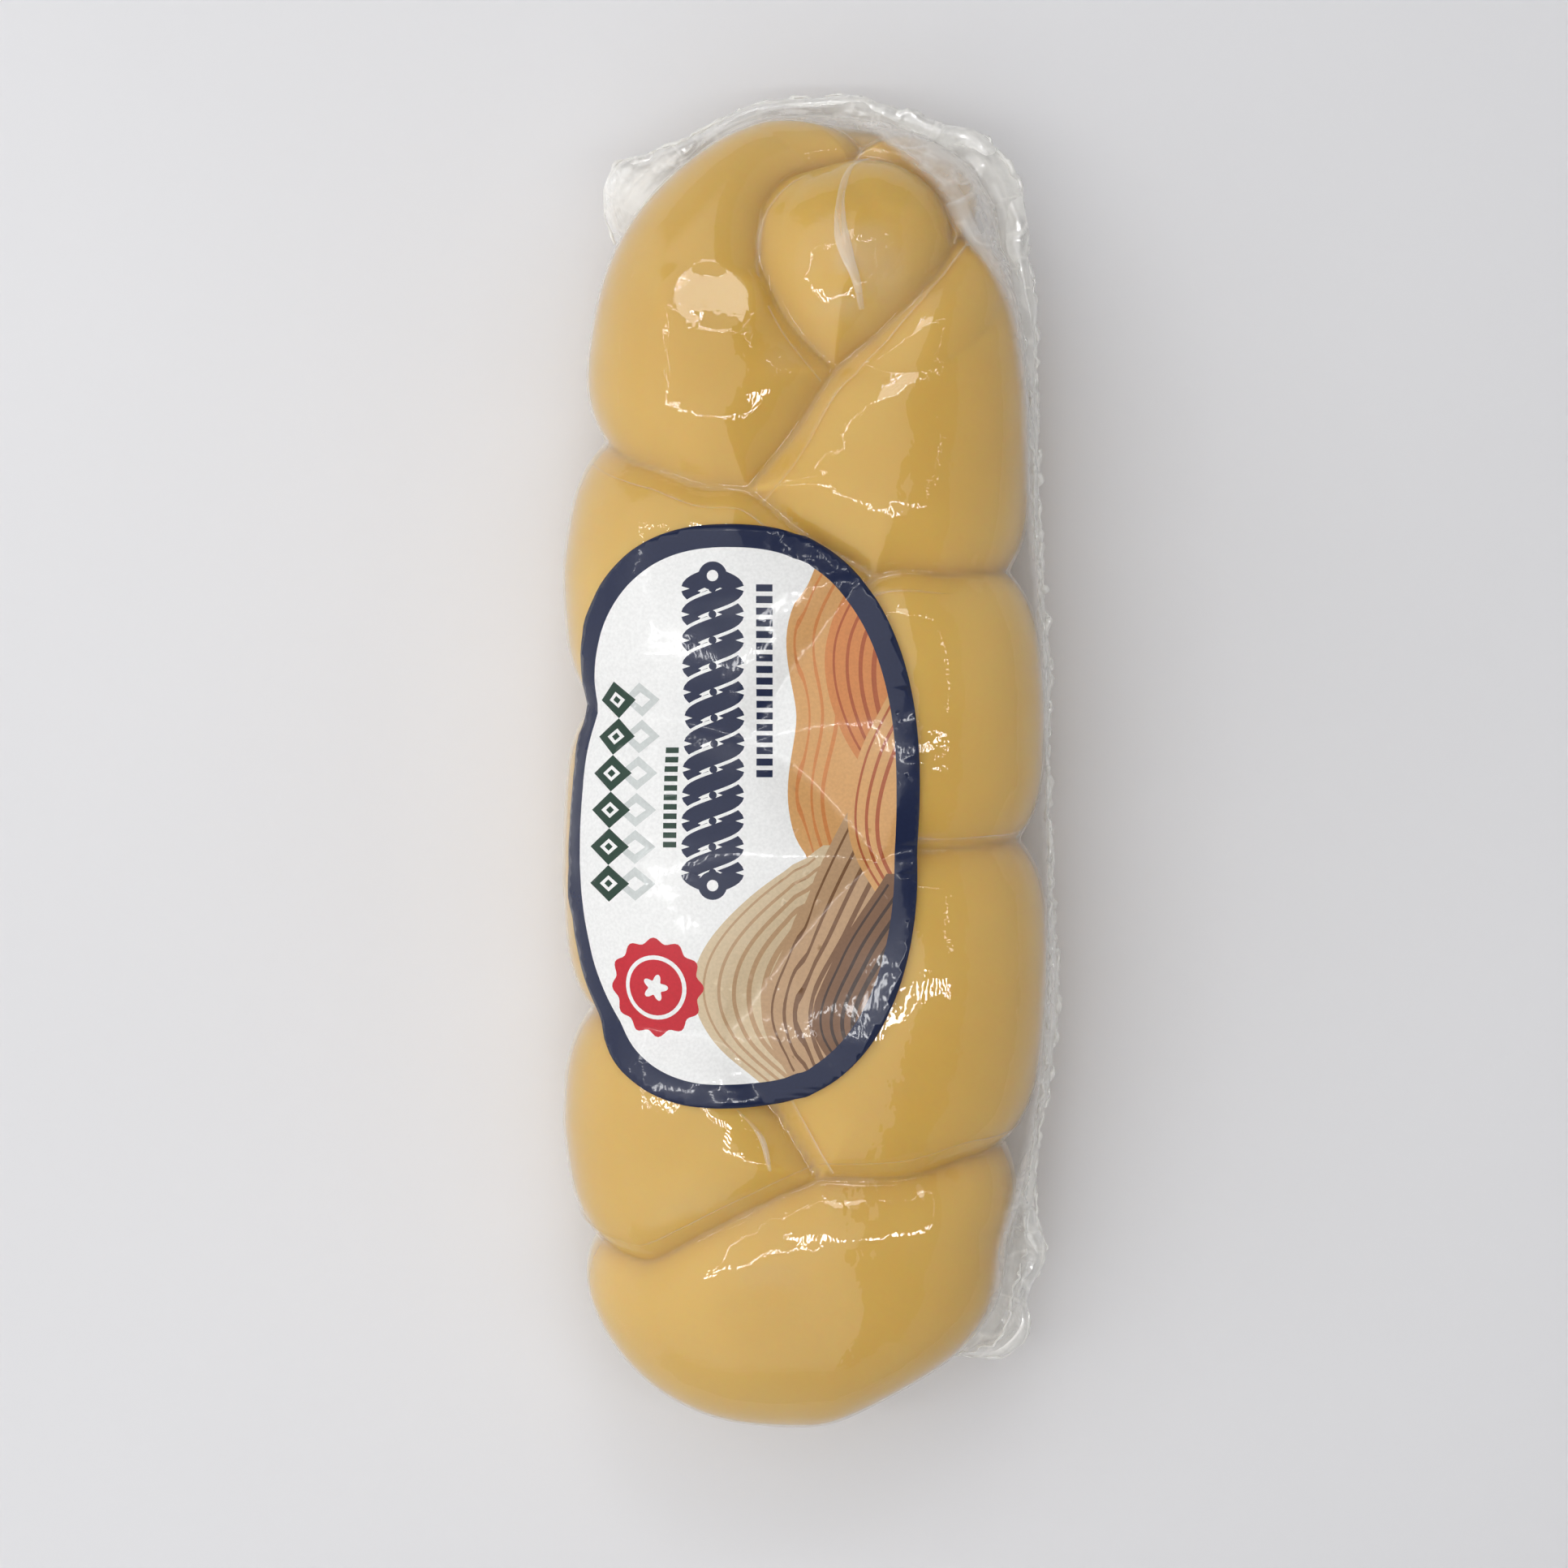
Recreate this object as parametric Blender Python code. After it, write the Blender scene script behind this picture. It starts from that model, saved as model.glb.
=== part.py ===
"""Braided smoked kashkaval in shrunk film, with an oval label. Metres, +Z up, braid along Y.

The braid is a long loaf whose three strands show as lobes. The loaf's section is a flattened
superellipse. Each seam between two lobes is a groove with rounded shoulders in a wide shallow
hollow, so that the lobes are domed. A seam runs from the middle of the top to a notch in one
side, and back to the middle of the underside, as the strands of a plait do. The film is tight
on the cheese and stands clear of it only as a crumpled frill round one side and the top end.
The label is a thin oval skin laid on the top.
"""

import dataclasses
import math

import bmesh
import bpy
import numpy as np

MM = 0.001

# The whole braid, in millimetres like every size below
HALF_LENGTH = 95.0
HALF_HEIGHT = 23.4
UNDERSIDE_CUT = 1.8  # depth of the flat spots that the braid rests on
MID_Z = HALF_HEIGHT - UNDERSIDE_CUT
CUTTER_HALF_SIZE = 120.0
PLAN_END_POWER = 3.0  # how blunt the ends are from above
SIDE_END_POWER = 2.9  # how blunt they are from the side
SECTION_POWER = 2.9

# Half widths of the two sides before the ends round off: (place along Y, half width)
LEFT_STATIONS = ((-95, 38), (-80, 40), (-57, 36.8), (-15, 34.2), (35, 34.4), (62, 32.6), (80, 30), (95, 22))
RIGHT_STATIONS = (
    (-95, 16),
    (-85, 33),
    (-66, 35.6),
    (-28, 36.4),
    (15, 35.6),
    (45, 34.8),
    (66, 36.8),
    (76, 38),
    (84, 40.6),
    (90, 41.8),
    (95, 41),
)

# The grooves at the seams, and the hollows that round the lobes off towards them
SEAM_DEPTH = 3.8
SEAM_REACH = 10.0
CREASE_RADIUS = 0.9  # rounding at the bottom of a groove
HOLLOW_DEPTH = 2.0
HOLLOW_REACH = 24.0
SEAM_STEP = 1.0

# Domes on the top: middle, radius and rise. The first is the knob at the strand's end.
SWELLS = (((13.5, 73.0), 17.0, 3.2), ((-14.0, 68.0), 26.0, 2.2), ((2.0, -74.0), 26.0, 1.2))

ROWS = 110
SIDES = 88
BRAID_FACE_SHARE = 0.38  # of the fine loaf's faces, kept where the form needs them

# The label: an oval, its middle seen from above, the gap under it and its thickness
LABEL_CENTRE = (-7.8, -6.4)
LABEL_HALF_SIZE = (24.8, 40.8)
LABEL_OVAL_POWER = 2.5
LABEL_GAP = 0.6
LABEL_THICKNESS = 0.4
LABEL_RINGS = 6
LABEL_SIDES = 40

# The frill of loose film: where it starts and ends, its gap, thickness, waves and reach
FRILL_START_Y = 76.0  # on the left side
FRILL_END_Y = -85.0  # on the right side
FRILL_GAP = 0.5
FRILL_THICKNESS = 1.2
FRILL_STEPS = 96
FRILL_Z = 20.0
FRILL_WAVE = 1.6
FRILL_WAVES = 17
FRILL_REACH = (
    (0.0, 4.2),
    (0.036, 9.4),
    (0.076, 4.0),
    (0.12, 3.4),
    (0.151, 3.8),
    (0.218, 3.2),
    (0.242, 4.8),
    (0.281, 4.3),
    (0.326, 3.0),
    (0.37, 2.1),
    (0.444, 1.6),
    (0.6, 1.0),
    (0.705, 1.0),
    (0.775, 2.2),
    (0.87, 1.2),
    (0.93, 5.6),
    (0.974, 6.6),
    (1.0, 2.0),
)

CHEESE_COLOUR = (0.58, 0.36, 0.11, 1.0)
FILM_COLOUR = (0.72, 0.69, 0.62, 1.0)
LABEL_COLOUR = (0.86, 0.86, 0.85, 1.0)


@dataclasses.dataclass(frozen=True)
class Seam:
    """A crease between two lobes: its points on the top, and its notch in one side.

    top holds (x, y) points seen from above. side is 1 for the +X side and -1 for the -X side.
    Round the notch the crease carries on to the underside, and ends there at under_end_y.
    """

    top: tuple
    side: int = 0
    notch_y: float = 0.0
    under_end_y: float = 0.0


# Where a crease runs on the underside: distance from the axis, share of the way along
UNDERSIDE_RUN = ((22, 0.06), (11, 0.14), (0, 0.74), (-9.5, 1.0))

SEAMS = (
    Seam(((-7.6, 39.4), (-1.2, 47.3), (4.9, 56.5), (12, 62.4), (19, 69.5), (24, 76.5)), 1, 80.0, 92.0),
    Seam(((10.9, 27), (0, 33.6), (-7.6, 39.4), (-14.5, 40.2), (-21.5, 42.7)), -1, 48.5, 82.0),
    Seam(((-7, 3.7), (1.6, 16.9), (10.9, 27), (22.5, 27.7)), 1, 29.2, 51.5),
    Seam(((11.4, -13), (1.6, -2), (-7, 3.7), (-21.5, 7.3)), -1, 9.7, 32.2),
    Seam(((-10.5, -38), (0.5, -23.3), (11.4, -13), (22.5, -11.3)), 1, -9.8, 12.7),
    Seam(((2.8, -58.4), (-4.4, -47.3), (-11, -38.5), (-21.5, -36.5)), -1, -34.2, -6.8),
    Seam(((2.8, -58.4), (13.2, -58.5), (19, -57.8), (25, -56.3)), 1, -54.3, -31.2),
    Seam(
        ((2.8, -58.4), (-3, -61), (-9.9, -64.4), (-15.6, -67.5), (-22.7, -71.1), (-28.2, -70.4)),
        -1,
        -67.5,
        -51.3,
    ),
    # round the strand's end, a drop-shaped knob at the top right
    Seam(
        (
            (4.9, 56.5),
            (-1.2, 62.9),
            (-5.0, 69.8),
            (-6.0, 76.0),
            (-5.0, 82.2),
            (-0.8, 87.4),
            (7.4, 90.6),
            (15.2, 89.2),
            (20.6, 84.6),
            (22.8, 79.0),
            (22.6, 75.2),
        )
    ),
    Seam(((7.4, 90.6), (9, 93), (9.5, 94))),
)


def smooth_value(stations, at):
    """Values at many places, read from a smooth curve through (place, value) stations."""
    places, values = np.array(stations, float).T
    at = np.clip(at, places[0], places[-1])
    slopes = np.gradient(values, places)
    i = np.clip(np.searchsorted(places, at, side="right") - 1, 0, len(places) - 2)
    width = places[i + 1] - places[i]
    t = (at - places[i]) / width
    rise = (2 * t**3 - 3 * t**2 + 1) * values[i] + (3 * t**2 - 2 * t**3) * values[i + 1]
    return rise + width * ((t**3 - 2 * t**2 + t) * slopes[i] + (t**3 - t**2) * slopes[i + 1])


def end_rounding(y, power):
    """Share of the full width or height that is left at y."""
    return np.maximum(0.0, 1.0 - np.abs(y / HALF_LENGTH) ** power) ** (1.0 / power)


def half_width(y, side):
    """Half width of the loaf at y, where side is positive for +X and negative for -X."""
    y = np.asarray(y, float)
    width = np.where(side > 0, smooth_value(RIGHT_STATIONS, y), smooth_value(LEFT_STATIONS, y))
    return width * end_rounding(y, PLAN_END_POWER)


def signed_power(value, power):
    return np.sign(value) * np.abs(value) ** power


def loaf_points(turn, y):
    """Points on the loaf. A turn of 0 is its top, 1 the +X side, -1 the -X side, 2 or -2 below."""
    angle = np.asarray(turn, float) * math.pi / 2
    x = signed_power(np.sin(angle), 2 / SECTION_POWER) * half_width(y, np.sin(angle))
    z = signed_power(np.cos(angle), 2 / SECTION_POWER) * HALF_HEIGHT * end_rounding(y, SIDE_END_POWER)
    return np.stack([x, np.broadcast_to(y, x.shape), z], axis=-1)


def even_turns(sides):
    """As many turns, all the way round, as put a section's points at even distances."""
    fine = np.linspace(0, 4, 40 * sides + 1)
    section = loaf_points(fine, np.zeros_like(fine))
    arc = np.concatenate([[0], np.cumsum(np.hypot(np.diff(section[:, 0]), np.diff(section[:, 2])))])
    return np.interp(np.arange(sides) / sides * arc[-1], arc, fine)


def turn_on_top(x, y):
    """The turn at which the top of the loaf lies at x."""
    share = min(1.0, abs(x) / float(half_width(y, x)))
    return math.copysign(math.asin(share ** (SECTION_POWER / 2)) * 2 / math.pi, x)


def smooth_path(points, step):
    """Closely spaced points along a smooth curve through the given ones."""
    points = np.array(points, float)
    ends = np.vstack([2 * points[0] - points[1], points, 2 * points[-1] - points[-2]])
    found = []
    for a, b, c, d in zip(ends, ends[1:], ends[2:], ends[3:]):
        count = max(2, math.ceil(np.linalg.norm(c - b) / step))
        t = np.arange(count)[:, None] / count
        found.append(b + 0.5 * t * (c - a + t * (2 * a - 5 * b + 4 * c - d + t * (3 * b - a - 3 * c + d))))
    return np.vstack(found + [points[-1:]])


def seam_points(seam):
    """Points in space along a whole seam, from the top round the side to the underside."""
    course = [(turn_on_top(x, y), y) for x, y in smooth_path(seam.top, SEAM_STEP)]
    if seam.side:
        run = [(2 * seam.side - turn_on_top(seam.side * x, seam.notch_y), share) for x, share in UNDERSIDE_RUN]
        below = [(turn, seam.notch_y + share * (seam.under_end_y - seam.notch_y)) for turn, share in run]
        round_side = smooth_path([course[-1], (seam.side, seam.notch_y)] + below, 0.05)
        course += [tuple(point) for point in round_side[1:]]
    turns, ys = np.array(course).T
    return smooth_path(loaf_points(turns, ys), SEAM_STEP)


def all_seam_points():
    return np.vstack([seam_points(seam) for seam in SEAMS])


def seam_distance(points, seams):
    """The distance from each point to the nearest seam."""
    nearest = np.empty(len(points))
    for i in range(0, len(points), 500):
        gaps = points[i : i + 500, None, :] - seams[None, :, :]
        nearest[i : i + 500] = np.sqrt((gaps**2).sum(axis=2).min(axis=1))
    return nearest


def groove_depth(away):
    """How deep the groove is at each distance from its crease, with a round shoulder."""
    share = np.clip(1.0 - np.hypot(away, CREASE_RADIUS) / SEAM_REACH, 0.0, 1.0)
    return SEAM_DEPTH * (1.0 - np.sqrt(1.0 - share**2))


def hollow_depth(away):
    """How deep the hollow is at each distance from the crease in it."""
    return HOLLOW_DEPTH * np.clip(1.0 - away / HOLLOW_REACH, 0.0, 1.0) ** 2


def swell_rise(points):
    """How far the domes lift each point on the top of the loaf."""
    total = np.zeros(points.shape[:-1])
    for centre, radius, rise in SWELLS:
        away = np.hypot(points[..., 0] - centre[0], points[..., 1] - centre[1]) / radius
        total += rise * np.clip(1.0 - away**2, 0.0, 1.0)
    return np.where(points[..., 2] > 0, total, 0.0)


def braid_surface(rows, sides):
    """A grid of points on the grooved loaf, one row for each ring, and its two end points."""
    turns = even_turns(sides)
    lengths = HALF_LENGTH * np.sin(np.linspace(-0.5, 0.5, rows + 2)[1:-1] * math.pi)
    grid = loaf_points(turns[None, :], lengths[:, None])
    around = np.roll(grid, -1, axis=1) - np.roll(grid, 1, axis=1)
    along = np.gradient(grid, axis=0)
    outward = np.cross(around, along)
    outward /= np.linalg.norm(outward, axis=2)[:, :, None]
    away = seam_distance(grid.reshape(-1, 3), all_seam_points()).reshape(rows, sides)
    lift = swell_rise(grid) - groove_depth(away) - hollow_depth(away)
    grid = grid + outward * lift[:, :, None]
    ends = np.array([(0, -HALF_LENGTH, 0), (0, HALF_LENGTH, 0)], float)
    middle = np.array((0, 0, MID_Z))
    return grid + middle, ends + middle


def material(name, colour, roughness):
    made = bpy.data.materials.new(name)
    made.use_nodes = True
    shader = made.node_tree.nodes["Principled BSDF"]
    shader.inputs["Base Color"].default_value = colour
    shader.inputs["Roughness"].default_value = roughness
    shader.inputs["Metallic"].default_value = 0.0
    return made


def solid(name, mesh, finish):
    """An object made from a bmesh in millimetres, with its faces turned outwards."""
    bmesh.ops.recalc_face_normals(mesh, faces=mesh.faces)
    bmesh.ops.scale(mesh, vec=(MM, MM, MM), verts=mesh.verts)
    data = bpy.data.meshes.new(name)
    mesh.to_mesh(data)
    mesh.free()
    if finish:
        data.materials.append(finish)
    data.shade_smooth()
    made = bpy.data.objects.new(name, data)
    bpy.context.scene.collection.objects.link(made)
    return made


def join_rings(mesh, rings):
    """Faces between neighbouring closed rings of as many points each."""
    for ring, after in zip(rings, rings[1:]):
        for k in range(len(ring)):
            j = (k + 1) % len(ring)
            mesh.faces.new((ring[k], ring[j], after[j], after[k]))


def close_ring(mesh, ring, middle):
    """A fan of faces from a ring to a point in its middle."""
    for k in range(len(ring)):
        mesh.faces.new((ring[k], ring[(k + 1) % len(ring)], middle))


def make_braid(finish):
    grid, ends = braid_surface(ROWS, SIDES)
    mesh = bmesh.new()
    rings = [[mesh.verts.new(point) for point in ring] for ring in grid]
    join_rings(mesh, rings)
    close_ring(mesh, rings[0], mesh.verts.new(ends[0]))
    close_ring(mesh, rings[-1], mesh.verts.new(ends[1]))
    braid = solid("cheese_braid", mesh, finish)
    fewer = braid.modifiers.new("fewer_faces", "DECIMATE")
    fewer.ratio = BRAID_FACE_SHARE
    flat = braid.modifiers.new("flat_underside", "BOOLEAN")
    flat.operation = "DIFFERENCE"
    flat.object = make_underside_cutter()
    return braid


def make_underside_cutter():
    """A block whose top is the plane that the braid rests on."""
    mesh = bmesh.new()
    bmesh.ops.create_cube(mesh, size=2 * CUTTER_HALF_SIZE)
    bmesh.ops.translate(mesh, vec=(0, 0, -CUTTER_HALF_SIZE), verts=mesh.verts)
    cutter = solid("underside_cutter", mesh, None)
    cutter.hide_render = True
    cutter.display_type = "WIRE"
    return cutter


def make_label(finish):
    """A thin oval that follows the loaf's top, closed by its rim."""
    seams = all_seam_points()
    mesh = bmesh.new()
    levels = []
    for lift in (LABEL_GAP, LABEL_GAP + LABEL_THICKNESS):
        rings = []
        for i in range(LABEL_RINGS, 0, -1):
            ring = []
            for k in range(LABEL_SIDES):
                angle = math.tau * k / LABEL_SIDES
                c, s = math.cos(angle), math.sin(angle)
                reach = (abs(c) ** LABEL_OVAL_POWER + abs(s) ** LABEL_OVAL_POWER) ** (-1 / LABEL_OVAL_POWER)
                x = LABEL_CENTRE[0] + LABEL_HALF_SIZE[0] * reach * c * i / LABEL_RINGS
                y = LABEL_CENTRE[1] + LABEL_HALF_SIZE[1] * reach * s * i / LABEL_RINGS
                ring.append(mesh.verts.new(on_top(x, y, lift, seams)))
            rings.append(ring)
        join_rings(mesh, rings)
        close_ring(mesh, rings[-1], mesh.verts.new(on_top(*LABEL_CENTRE, lift, seams)))
        levels.append(rings[0])
    join_rings(mesh, levels)
    return solid("oval_label", mesh, finish)


def on_top(x, y, lift, seams):
    """The place that stands off the hollowed top by lift, above the point at x and y."""
    turn, nudge = turn_on_top(x, y), 0.01
    turns = np.array([turn, turn + nudge, turn])
    here, across, along = loaf_points(turns, np.array([y, y, y + nudge]))
    outward = np.cross(across - here, along - here)
    lift += swell_rise(here) - hollow_depth(seam_distance(here[None, :], seams)[0])
    return here + outward / np.linalg.norm(outward) * lift + np.array((0, 0, MID_Z))


def frill_course():
    """Points along the loaf's outline from the left side over the top end to the right side."""
    angle = np.linspace(math.pi / 2, 0, 80)
    top_y = FRILL_START_Y + (HALF_LENGTH - FRILL_START_Y) * np.sin(angle)
    left_y = top_y[::-1]
    right_y = np.concatenate([top_y, np.linspace(FRILL_START_Y, FRILL_END_Y, 200)[1:]])
    left = np.stack([-half_width(left_y, -1), left_y], axis=1)
    right = np.stack([half_width(right_y, 1), right_y], axis=1)[1:]
    points = np.vstack([left, right])
    along = np.concatenate([[0], np.cumsum(np.linalg.norm(np.diff(points, axis=0), axis=1))])
    at = np.linspace(0, along[-1], FRILL_STEPS + 1)
    return np.stack([np.interp(at, along, points[:, 0]), np.interp(at, along, points[:, 1])], axis=1)


def make_frill(finish):
    """A wavy strip of film along the braid's outline."""
    course = frill_course()
    forward = np.gradient(course, axis=0)
    forward /= np.linalg.norm(forward, axis=1)[:, None]
    outward = np.stack([-forward[:, 1], forward[:, 0]], axis=1)
    reach = smooth_value(FRILL_REACH, np.linspace(0, 1, len(course)))
    mesh = bmesh.new()
    rings = []
    for i, (place, out) in enumerate(zip(course, outward)):
        wave = FRILL_WAVE * math.sin(math.tau * FRILL_WAVES * i / len(course))
        ring = []
        for share, lift in ((0, 0), (0.5, wave / 2), (1, wave)):
            x, y = place + out * (FRILL_GAP + reach[i] * share)
            ring.append((x, y, FRILL_Z + lift))
        under = [(x, y, z - FRILL_THICKNESS) for x, y, z in reversed(ring)]
        rings.append([mesh.verts.new(point) for point in ring + under])
    join_rings(mesh, rings)
    mesh.faces.new(rings[0])
    mesh.faces.new(rings[-1])
    return solid("film_frill", mesh, finish)


def main():
    for obj in list(bpy.data.objects):
        bpy.data.objects.remove(obj)
    make_braid(material("cheese", CHEESE_COLOUR, 0.35))
    make_label(material("label_paper", LABEL_COLOUR, 0.4))
    make_frill(material("film", FILM_COLOUR, 0.25))


main()
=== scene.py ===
"""Looks of a braided smoke-cured kashkaval in shrunk clear film, dressed round its CAD solids.

Sizes are in millimetres unless a name or a docstring says metres, and a mesh is scaled to
metres when it is made. +X is to the right seen from above, +Y towards the end with the knob,
and +Z is up, as in the CAD frame.
"""

import dataclasses
import enum
import itertools
import logging
import math

import bpy
import numpy as np
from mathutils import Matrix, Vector, geometry, kdtree


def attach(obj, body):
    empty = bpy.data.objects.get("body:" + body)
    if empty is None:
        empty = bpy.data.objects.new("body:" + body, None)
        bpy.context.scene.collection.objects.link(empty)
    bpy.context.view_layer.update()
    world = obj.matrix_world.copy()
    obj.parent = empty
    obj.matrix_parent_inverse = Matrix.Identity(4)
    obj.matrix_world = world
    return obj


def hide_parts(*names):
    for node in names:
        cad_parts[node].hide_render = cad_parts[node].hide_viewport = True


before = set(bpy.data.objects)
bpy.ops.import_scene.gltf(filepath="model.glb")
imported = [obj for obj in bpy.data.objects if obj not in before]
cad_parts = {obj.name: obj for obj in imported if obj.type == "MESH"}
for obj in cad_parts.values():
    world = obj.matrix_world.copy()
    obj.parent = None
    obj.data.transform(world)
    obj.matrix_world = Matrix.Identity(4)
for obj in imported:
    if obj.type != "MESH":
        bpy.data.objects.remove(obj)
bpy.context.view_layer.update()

LOG = logging.getLogger("kashkaval")
MM = 0.001
BODY = "root"

Array = np.ndarray
Colour = tuple[float, float, float]
Place = tuple[float, float]
Stations = tuple[Place, ...]
Faces = list[tuple[int, ...]]


# Noise and curves

LATTICE_PRIMES = np.array((73856093, 19349663, 83492791), np.int64)
SEED_PRIME = 48271
MIXING_PRIME = 1274126177
LOW_BITS = 0xFFFF


def lattice_noise(points: Array, cell: float, seed: int) -> Array:
    """Smooth random values that change over the length of a cell.

    Args:
        points: places in one, two or three dimensions, with the coordinates on the last axis.
        cell: the length over which the values change, in the points' own unit.
        seed: which of many such fields is read.

    Returns:
        One value from -1 to 1 for each place.
    """
    scaled = np.asarray(points, float) / cell
    base = np.floor(scaled).astype(np.int64)
    part = scaled - base
    part = part * part * part * (part * (part * 6 - 15) + 10)
    axes = scaled.shape[-1]
    total = np.zeros(scaled.shape[:-1])
    for corner in itertools.product((0, 1), repeat=axes):
        step = np.array(corner)
        mixed = ((base + step) * LATTICE_PRIMES[:axes]).sum(axis=-1) + seed * SEED_PRIME
        mixed = (mixed ^ (mixed >> 13)) * MIXING_PRIME
        mixed = mixed ^ (mixed >> 16)
        weight = np.where(step, part, 1 - part).prod(axis=-1)
        total += ((mixed & LOW_BITS) / (LOW_BITS / 2) - 1) * weight
    return total


def crease_lines(points: Array, cell: float, width: float, seed: int) -> Array:
    """Thin branching lines, as crumpled film has them.

    Args:
        points: places, as for lattice_noise.
        cell: the rough distance between lines.
        width: how wide a line is, as a share of the noise's range.
        seed: which field is read.

    Returns:
        One on a line's middle, falling to zero at its edges, for each place.
    """
    return np.clip(1 - np.abs(lattice_noise(points, cell, seed)) / width, 0, 1)


def smooth_value(stations: Stations, at: Array) -> Array:
    """Values read from a smooth curve through stations.

    Args:
        stations: (place, value) pairs in rising order of place.
        at: the places to read, held to the ends of the curve.

    Returns:
        One value for each place.
    """
    places, values = np.array(stations, float).T
    at = np.clip(at, places[0], places[-1])
    slopes = np.gradient(values, places)
    i = np.clip(np.searchsorted(places, at, side="right") - 1, 0, len(places) - 2)
    width = places[i + 1] - places[i]
    t = (at - places[i]) / width
    rise = (2 * t**3 - 3 * t**2 + 1) * values[i] + (3 * t**2 - 2 * t**3) * values[i + 1]
    return rise + width * ((t**3 - 2 * t**2 + t) * slopes[i] + (t**3 - t**2) * slopes[i + 1])


def smooth_path(points: Array, step: float) -> Array:
    """Closely spaced points along a smooth curve through the given ones.

    Args:
        points: the curve's own points, in any number of dimensions.
        step: the greatest distance between two points of the result.

    Returns:
        The points of the curve, first and last included.
    """
    points = np.array(points, float)
    ends = np.vstack([2 * points[0] - points[1], points, 2 * points[-1] - points[-2]])
    found = []
    for a, b, c, d in zip(ends, ends[1:], ends[2:], ends[3:]):
        count = max(2, math.ceil(np.linalg.norm(c - b) / step))
        t = np.arange(count)[:, None] / count
        found.append(b + 0.5 * t * (c - a + t * (2 * a - 5 * b + 4 * c - d + t * (3 * b - a - 3 * c + d))))
    return np.vstack(found + [points[-1:]])


def signed_power(value: Array, power: float) -> Array:
    """The power of the size of each value, with the value's own sign."""
    return np.sign(value) * np.abs(value) ** power


def unit(vectors: Array) -> Array:
    """The same directions with a length of one."""
    return vectors / np.maximum(np.linalg.norm(vectors, axis=-1, keepdims=True), 1e-9)


def plan_distance(points: Array, centre: Place) -> Array:
    """How far each point is from a place, both seen from above."""
    return np.hypot(points[..., 0] - centre[0], points[..., 1] - centre[1])


# The braid's form, with the sizes and formulas of the CAD solid


@dataclasses.dataclass(frozen=True)
class Seam:
    """A crease between two lobes: its points on the top, and its notch in one side.

    top holds (x, y) points seen from above. side is 1 for the +X side and -1 for the -X side.
    Round the notch the crease carries on to the underside, and ends there at under_end_y.
    """

    top: tuple[Place, ...]
    side: int = 0
    notch_y: float = 0.0
    under_end_y: float = 0.0


SEAMS = (
    Seam(((-7.6, 39.4), (-1.2, 47.3), (4.9, 56.5), (12, 62.4), (19, 69.5), (24, 76.5)), 1, 80.0, 92.0),
    Seam(((10.9, 27), (0, 33.6), (-7.6, 39.4), (-14.5, 40.2), (-21.5, 42.7)), -1, 48.5, 82.0),
    Seam(((-7, 3.7), (1.6, 16.9), (10.9, 27), (22.5, 27.7)), 1, 29.2, 51.5),
    Seam(((11.4, -13), (1.6, -2), (-7, 3.7), (-21.5, 7.3)), -1, 9.7, 32.2),
    Seam(((-10.5, -38), (0.5, -23.3), (11.4, -13), (22.5, -11.3)), 1, -9.8, 12.7),
    Seam(((2.8, -58.4), (-4.4, -47.3), (-11, -38.5), (-21.5, -36.5)), -1, -34.2, -6.8),
    Seam(((2.8, -58.4), (13.2, -58.5), (19, -57.8), (25, -56.3)), 1, -54.3, -31.2),
    Seam(
        ((2.8, -58.4), (-3, -61), (-9.9, -64.4), (-15.6, -67.5), (-22.7, -71.1), (-28.2, -70.4)),
        -1,
        -67.5,
        -51.3,
    ),
    # round the strand's end, a drop-shaped knob at the top right
    Seam(
        (
            (4.9, 56.5),
            (-1.2, 62.9),
            (-5.0, 69.8),
            (-6.0, 76.0),
            (-5.0, 82.2),
            (-0.8, 87.4),
            (7.4, 90.6),
            (15.2, 89.2),
            (20.6, 84.6),
            (22.8, 79.0),
            (22.6, 75.2),
        )
    ),
    Seam(((7.4, 90.6), (9, 93), (9.5, 94))),
)


@dataclasses.dataclass(frozen=True)
class Swell:
    """A dome on the top of the loaf: its middle, how far it spreads and how high it stands."""

    centre: Place
    radius: float
    rise: float


SWELLS = (
    Swell((13.5, 73.0), 17.0, 3.2),
    Swell((-14.0, 68.0), 26.0, 2.2),
    Swell((2.0, -74.0), 26.0, 1.2),
)


@dataclasses.dataclass
class Patch:
    """Points on the braid's loaf before its grooves are cut, and what lies round them."""

    points: Array
    outward: Array
    away: Array  # distance to the nearest seam
    along: Array  # place along the nearest seam


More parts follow.
